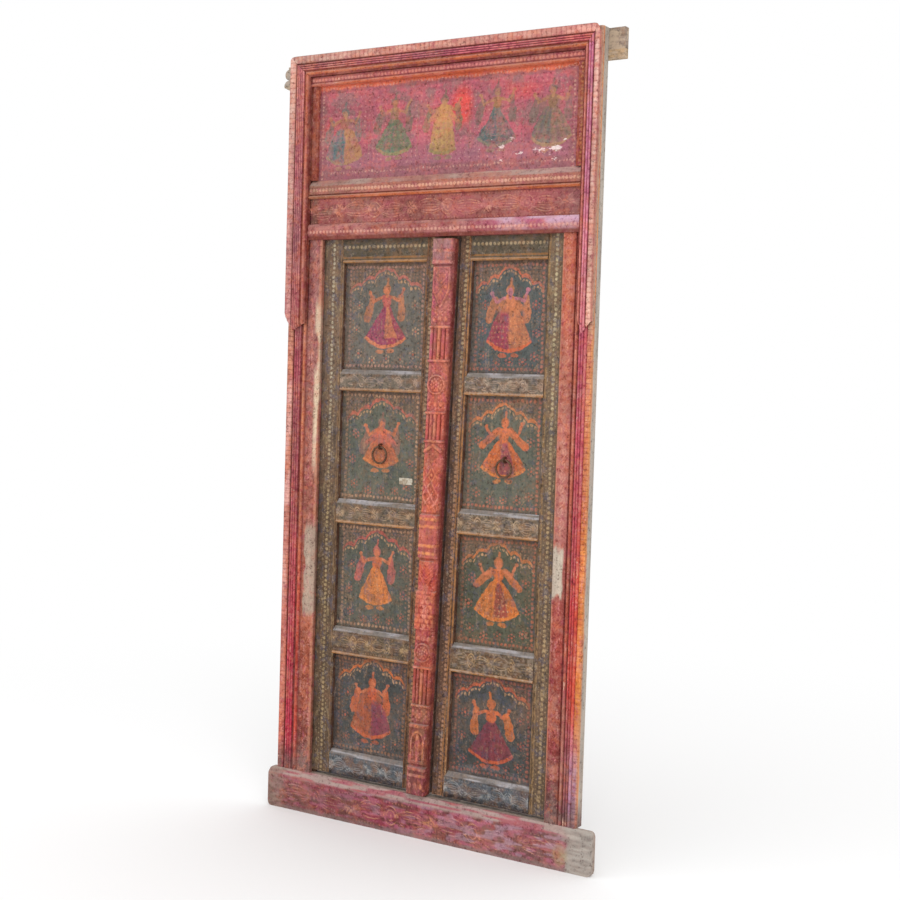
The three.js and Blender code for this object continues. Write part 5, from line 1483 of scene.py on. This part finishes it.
lookPanel = coloured({"stretch": [60.0, 60.0, 8.0], "under": (168, 150, 128), "dirtAndShade": (52, 40, 32),
                      "warm": (120, 86, 62), "cool": (80, 84, 106), "pale": (176, 138, 104), "wear": 0.02,
                      "dust": 0.5, "fade": 0.06, "bump": 0.4, "vary": 0.34})
for node, own in panelLooks.items():
    look = coloured(dict(panelBase, **own))
    low, high = millimetres(node)
    drawing = panelDrawing((low + high) / 2, (high - low) / 2 - [13.0, 0, 7.0], look)
    dress(node, plainMaterial(node + "_paint", look["ground"], 0.72, lookPanel, drawing))
print("panels painted")


def stileDrawing(leaf, columnX, innerX, look):
    # a column of cream dots down the middle, a double tan arris beside the panels, and the faces behind the
    # front painted dark brown: painted shade on the recess walls
    faceY = leafFace + 3
    outward = 1.0 if columnX < innerX else -1.0

    def drawing(tree, place, ground):
        behind = apart(place)[1] * 1000.0 - faceY
        drawn = useGroup(tree, handDrawn, Place=place, Wander=0.5)
        v, kept = drawn["Up"], drawn["Kept"]
        plumb = drawn["Across"] - (v - leafSag["level"]) * leanAt(leaf, columnX)
        u, inside = plumb - columnX, (plumb - innerX) * -outward
        dotTone = layer(step(v, 900.0, 1250.0), look["dotsLow"], look["dotsHigh"])
        tone = layer(step(v, 700.0, 1300.0), look["groundLow"], ground)
        fine = most(dotRow(v + 6.3, u - 11.0, 12.7, 1.8), dotRow(v + 6.3, u + 11.0, 12.7, 1.8))
        broken = grainAt(stretched(place, 60.0, 60.0, 22.0), 1.0, 4.0, 0.7)
        return layered(tone, (dotRow(v, u, 12.7, 4.4) * (kept * 0.45 + 0.5), dotTone),
                       (fine * (kept * 0.4 + 0.3), look["dotsLow"]),
                       (step(behind, -0.25, -1.0) * (kept * 0.35 + 0.45), look["arris"]),
                       (step((inside - 9.5).op("ABSOLUTE"), 3.2, 1.4) * (kept * 0.5 + 0.3), look["arris"]),
                       (step((inside - 6.0).op("ABSOLUTE"), 2.2, 1.0) * 0.6, colour(58, 42, 32)),
                       (step(broken, 0.56, 0.62) * 0.4, look["dotsLow"]),
                       (step(broken, 0.46, 0.40) * 0.45, colour(56, 46, 40)),
                       (step(behind, 0.6, 2.0) * 0.9, colour(84, 54, 38)))
    return drawing


stileLooks = {
    "left_hinge_stile": {"arris": (146, 112, 78), "dotsHigh": (190, 178, 152), "dotsLow": (172, 148, 108),
                         "ground": (112, 92, 76), "groundLow": (96, 76, 58)},
    "left_meeting_stile": {"arris": (140, 96, 64), "dotsHigh": (182, 150, 118), "dotsLow": (178, 132, 92),
                           "ground": (104, 82, 66), "groundLow": (90, 68, 52)},
    "right_hinge_stile": {"arris": (160, 126, 84), "dotsHigh": (192, 176, 138), "dotsLow": (178, 150, 110),
                          "ground": (116, 98, 78), "groundLow": (104, 84, 66)},
    "right_meeting_stile": {"arris": (182, 124, 70), "dotsHigh": (182, 156, 118), "dotsLow": (174, 128, 98),
                            "ground": (102, 78, 62), "groundLow": (92, 66, 52)},
}
lookStile = dict(lookPanel, vary=0.45, pale=colour(176, 156, 126))
for node, own in stileLooks.items():
    side, part = node.split("_")[:2]
    leaf, own = leafSpecs[side], coloured(own)
    if part == "hinge":
        inner, outer, share = leaf["panelStart"], 0, 0.55
    else:
        inner, outer, share = leaf["panelEnd"], leaf["meeting"], 0.4
    inner, outer = (leaf["pivot"] + leaf["towards"] * reach for reach in (inner, outer))
    columnX = inner + 16 if node == "left_meeting_stile" else inner * (1 - share) + outer * share
    drawing = stileDrawing(leaf, columnX, inner, own)
    dress(node, plainMaterial(node + "_paint", own["ground"], 0.7, lookStile, drawing))

friezeLow, friezeHigh = millimetres("frieze_panel")
friezeDancers = [
    {"x": -300.0, "z": 1896.0, "wide": 74.0, "bell": 0.45, "ochre": 0.9, "shawl": 0.3, "hem": (168, 132, 92),
     "bodice": (150, 100, 82), "veil": (96, 112, 104), "skirt": (72, 110, 112)},
    {"x": -135.0, "z": 1914.0, "wide": 76.0, "bell": 0.8, "ochre": 0.1, "shawl": 0.2, "hem": (150, 136, 88),
     "bodice": (136, 110, 76), "veil": (96, 104, 84), "skirt": (80, 112, 90)},
    {"x": 22.0, "z": 1908.0, "wide": 46.0, "bell": 0.35, "ochre": 0.2, "shawl": 0.9, "hem": (120, 116, 84),
     "bodice": (192, 140, 84), "veil": (104, 110, 82), "skirt": (176, 140, 84)},
    {"x": 184.0, "z": 1920.0, "wide": 84.0, "bell": 1.2, "ochre": 0.1, "shawl": 0.2, "hem": (150, 132, 104),
     "bodice": (150, 112, 74), "veil": (104, 100, 88), "skirt": (62, 96, 98)},
    {"x": 345.0, "z": 1912.0, "wide": 74.0, "bell": 0.6, "ochre": 0.2, "shawl": 0.3, "hem": (186, 140, 96),
     "bodice": (140, 106, 80), "veil": (112, 104, 92), "skirt": (100, 104, 96)},
]
friezeLook = coloured({"long": 112.0, "size": 0.92, "crimson": (192, 92, 106), "mauve": (138, 102, 102),
                       "lower": (150, 98, 112), "red": (222, 74, 66), "edge": (132, 84, 84),
                       "top": (222, 108, 66), "dots": (204, 158, 140), "seeds": (212, 160, 146),
                       "ochre": (176, 122, 76), "skin": (176, 126, 88), "petals": (196, 150, 130),
                       "bare": (226, 208, 204)})


def friezeDrawing(tree, place, ground):
    # five dancers in a row inside a dotted border, on a blotched crimson and mauve ground
    drawn = useGroup(tree, handDrawn, Place=place, Wander=1.0)
    u, v, kept = drawn["Across"], drawn["Up"], drawn["Kept"]
    left, right, bottom, top = friezeLow[0] + 21, friezeHigh[0] - 21, friezeLow[2] + 50, topLow[2]
    cloudy = grainAt(place, 15.0, 4.0, 0.65)
    other = grainAt(vectorOp("ADD", place, (3.0, 1.0, 2.0)), 20.0, 4.0, 0.65)
    patch = most(disc(u, v, 78.0, 1962.0, 30.0, 48.0, 0.5), disc(u, v, -352.0, 1930.0, 26.0, 22.0, 0.6) * 0.5,
                 disc(u, v, 262.0, 1990.0, 44.0, 20.0, 0.7) * 0.5)
    edge = most(step(u - (left + 26), 3.0, -3.0), step(u - (right - 26), -3.0, 3.0),
                step(v - (bottom + 24), 3.0, -3.0), step(v - (top - 20), -3.0, 3.0))
    border = kept * 0.45 + 0.15
    scatter = dotRow(u, (v / 13.0).op("FRACT") * 13.0 - 6.5, 14.0, 2.0) * (edge * -1.0 + 1.0)
    surface = layered(ground, (step(cloudy, 0.44, 0.58) * 0.7, friezeLook["crimson"]),
                      (step(other, 0.48, 0.60) * 0.8, friezeLook["mauve"]),
                      (step(v, 1905.0, 1830.0) * 0.7, friezeLook["lower"]), (patch * 0.85, friezeLook["red"]),
                      (edge * 0.55, friezeLook["edge"]),
                      (step(v + cloudy * 20.0, top - 4, top + 4) * 0.8, friezeLook["top"]),
                      (dotRow(u, v - (bottom + 12), 10.5, 3.0) * border, friezeLook["dots"]),
                      (dotRow(u, v - (top - 8), 10.5, 3.0) * border, friezeLook["dots"]),
                      (dotRow(v, u - (left + 12), 10.5, 3.0) * border, friezeLook["dots"]),
                      (dotRow(v, u - (right - 12), 10.5, 3.0) * border, friezeLook["dots"]),
                      (scatter * kept * 0.45, friezeLook["seeds"]))
    # one drawing serves all five: which dancer it is follows from the place along the board
    turns = [step(u, at - 1.0, at + 1.0) for at in (-218, -58, 100, 262)]

    def toneOf(key):
        tones = [colour(*one[key]) for one in friezeDancers]
        return layered(tones[0], *zip(turns, tones[1:]))

    def sizeOf(key):
        sizes = [one[key] for one in friezeDancers]
        value = turns[0] * (sizes[1] - sizes[0]) + sizes[0]
        for turn, before, after in zip(turns[1:], sizes[1:], sizes[2:]):
            value = value + turn * (after - before)
        return value

    figure = useGroup(tree, dancer, Across=(u - sizeOf("x")) * (1 / friezeLook["size"]),
                      Up=(v - sizeOf("z")) * (1 / friezeLook["size"]), Wide=sizeOf("wide"),
                      Long=friezeLook["long"], Bell=sizeOf("bell"))
    thin = kept * 0.35 + 0.60
    hem, bodice = toneOf("hem"), toneOf("bodice")
    skirt = layered(toneOf("skirt"), (figure["Right"] * sizeOf("ochre"), friezeLook["ochre"]),
                    (figure["Pleats"] * 0.25, hem))
    flower = useGroup(tree, floret, Across=((u + 453.5) / 157.0).op("FRACT") * 157.0 - 78.5, Up=v - 1900.0)
    flat = grainAt(stretched(place, 30.0, 30.0, 70.0), 1.0, 5.0, 0.65)
    bare = most(disc(u, v, 205.0, 1842.0, 62.0, 30.0, 0.6), disc(u, v, 345.0, 1846.0, 60.0, 28.0, 0.6))
    surface = layered(surface, (figure["Veil"] * thin * 0.8, toneOf("veil")), (figure["Skirt"] * thin, skirt),
                      (figure["Hem"] * thin * 0.6, hem), (figure["Shawl"] * thin * sizeOf("shawl"), bodice),
                      (figure["Bodice"] * thin, bodice), (figure["Skin"] * thin * 0.8, friezeLook["skin"]),
                      (figure["Feet"] * thin * 0.6, hem),
                      (flower["Petals"] * kept * 0.35, friezeLook["petals"]),
                      (step(flat + bare * 0.14, 0.70, 0.73), friezeLook["bare"]))
    return bareBehind(place, surface, (friezeLow[1] + friezeHigh[1]) / 2)


def friezeStileDrawing(tree, place, ground):
    # brown-orange board with a column of ochre spots
    drawn = useGroup(tree, handDrawn, Place=place, Wander=0.8)
    spots = dotRow(drawn["Up"], drawn["Across"].op("ABSOLUTE") - (friezeHigh[0] - 9.0), 11.0, 3.6)
    return layer(spots * (drawn["Kept"] * 0.5 + 0.2), ground, colour(204, 138, 84))


def transomDrawing(tree, place, ground):
    return bareBehind(place, ground, millimetres("transom")[1][1] - 4)


def beamDrawing(tree, place, ground):
    # grey-brown weather above a long crack, tan below it, pale broken wood at the left end
    low, high = millimetres("head_beam")
    x, z = apart(place)[::2]
    bend = grainAt(place, 9.0, 3.0, 0.6)
    line = (z * 1000.0 - x * 10.3) + bend * 8.0 - ((low[2] + high[2]) / 2 - 9.0)
    shade = grainAt(stretched(place, 20.0, 20.0, 120.0), 1.0, 5.0, 0.7)
    return layered(ground, (step(line, 1.5, -1.5), colour(190, 160, 124)),
                   (step(line.op("ABSOLUTE"), 2.2, 0.6) * 0.8, colour(92, 80, 68)),
                   (step(shade, 0.54, 0.60) * 0.6, colour(96, 84, 74)),
                   (step(x * 1000.0, low[0] + 40.0, low[0] + 10.0) * 0.6, colour(196, 186, 172)))


lookFrieze = dict(lookRedAcross, wear=0.02, dust=0.2, fade=0.14, vary=0.26, warm=colour(206, 92, 76),
                  cool=colour(150, 78, 108), pale=colour(190, 120, 122))
dress("frieze_panel", plainMaterial("friezePaint", colour(164, 88, 98), 0.75, lookFrieze, friezeDrawing))
dress("transom", plainMaterial("redPlain", colour(168, 78, 72), 0.6, lookRedAcross, transomDrawing))
friezeStile = plainMaterial("friezeStilePaint", colour(150, 70, 52), 0.6, dict(lookRed, vary=0.45),
                            friezeStileDrawing)
dress("frieze_stile_left", friezeStile)
dress("frieze_stile_right", friezeStile)
lookBeam = dict(lookWood, fade=0.2)
dress("head_beam", plainMaterial("weatheredBeam", colour(146, 128, 116), 0.75, lookBeam, beamDrawing))


def metalMaterial(name, look):
    # metal patched with rust or tarnish
    material, tree, shader, place = startMaterial(name)
    spots = grainAt(place, 240.0, 4.0, 0.65)
    broad = grainAt(place, 60.0, 3.0, 0.5)
    tone = step(spots * 0.6 + broad * 0.4, 0.42, 0.6)
    base = tree.nodes.new("ShaderNodeRGB")
    base.outputs[0].default_value = look["ground"]
    feed(shader.inputs["Base Color"], layer(tone, Field(tree, base.outputs[0]), look["rust"]))
    feed(shader.inputs["Roughness"], tone * 0.35 + 0.4)
    shader.inputs["Metallic"].default_value = look["metallic"]
    bump = tree.nodes.new("ShaderNodeBump")
    bump.inputs["Strength"].default_value = 0.4
    bump.inputs["Distance"].default_value = 0.0006
    feed(bump.inputs["Height"], spots)
    feed(shader.inputs["Normal"], Field(tree, bump.outputs[0]))
    return material


iron = metalMaterial("iron", coloured({"ground": (112, 84, 66), "rust": (86, 58, 42), "metallic": 0.6}))
for node in ("left_ring", "right_ring", "left_ring_staple", "right_ring_staple"):
    dress(node, iron)
plateLook = coloured({"ground": (196, 188, 172), "rust": (168, 150, 128), "metallic": 0.7})
dress("patch_plate", metalMaterial("paleMetal", plateLook))
print("frame pieces dressed")

cameraLook = {"place": (2.0805, -3.2708, 1.2446), "yaw": 0.55174, "pitch": 0.04943, "roll": -0.03037,
              "lens": 57.67}


def placeCamera(look):
    # to the right of the door, turned back towards it and a little tilted
    yaw, pitch, roll = look["yaw"], look["pitch"], look["roll"]
    forward = Vector((-math.sin(yaw) * math.cos(pitch), math.cos(yaw) * math.cos(pitch), -math.sin(pitch)))
    right = Vector((math.cos(yaw), math.sin(yaw), 0))
    below = forward.cross(right)
    across = right * math.cos(roll) + below * math.sin(roll)
    down = below * math.cos(roll) - right * math.sin(roll)
    lens = bpy.data.cameras.new("studioCamera")
    lens.lens = look["lens"]
    lens.sensor_width = 36
    lens.clip_end = 100
    camera = bpy.data.objects.new("studioCamera", lens)
    bpy.context.scene.collection.objects.link(camera)
    turned = Matrix((across, -down, -forward)).transposed().to_4x4()
    camera.matrix_world = Matrix.Translation(look["place"]) @ turned
    bpy.context.scene.camera = camera


placeCamera(cameraLook)

floorLook = {"half": 9.0, "near": 0.9, "far": 3.2, "grey": 0.93}
floorMesh = bpy.data.meshes.new("studioFloor")
corners = [(x * floorLook["half"], y * floorLook["half"], 0) for x, y in ((-1, -1), (1, -1), (1, 1), (-1, 1))]
floorMesh.from_pydata(corners, [], [(0, 1, 2, 3)])
floor = bpy.data.objects.new("studioFloor", floorMesh)
bpy.context.scene.collection.objects.link(floor)
floorMaterial, _, floorShader, floorPlace = startMaterial("studioFloor")
away = step(vectorOp("LENGTH", floorPlace), floorLook["near"], floorLook["far"])
nearTone = (floorLook["grey"], floorLook["grey"], floorLook["grey"], 1)
feed(floorShader.inputs["Base Color"], layer(away, nearTone, (0.0, 0.0, 0.0, 1)))
floorShader.inputs["Emission Color"].default_value = (1, 1, 1, 1)
feed(floorShader.inputs["Emission Strength"], away)
floorShader.inputs["Specular IOR Level"].default_value = 0.0
floorShader.inputs["Roughness"].default_value = 0.9
floorMesh.materials.append(floorMaterial)

world = bpy.data.worlds.new("studio")
world.use_nodes = True
sky = world.node_tree.nodes["Background"]
sky.inputs[0].default_value = (1, 1, 1, 1)
sky.inputs[1].default_value = 1.0
bpy.context.scene.world = world
bpy.context.scene.view_settings.view_transform = "Standard"


def softLight(name, place, size, power):
    # a square lamp that looks at the middle of the door
    data = bpy.data.lights.new(name, "AREA")
    data.shape = "SQUARE"
    data.size = size
    data.energy = power
    lamp = bpy.data.objects.new(name, data)
    bpy.context.scene.collection.objects.link(lamp)
    lamp.location = place
    lamp.rotation_euler = (Vector((0, 0, 1.0)) - Vector(place)).to_track_quat("-Z", "Y").to_euler()


softLight("keyLight", (2.6, -3.4, 3.6), 2.2, 60)
softLight("fillLight", (-3.0, -3.2, 2.0), 2.5, 12)
print("stage and camera set")
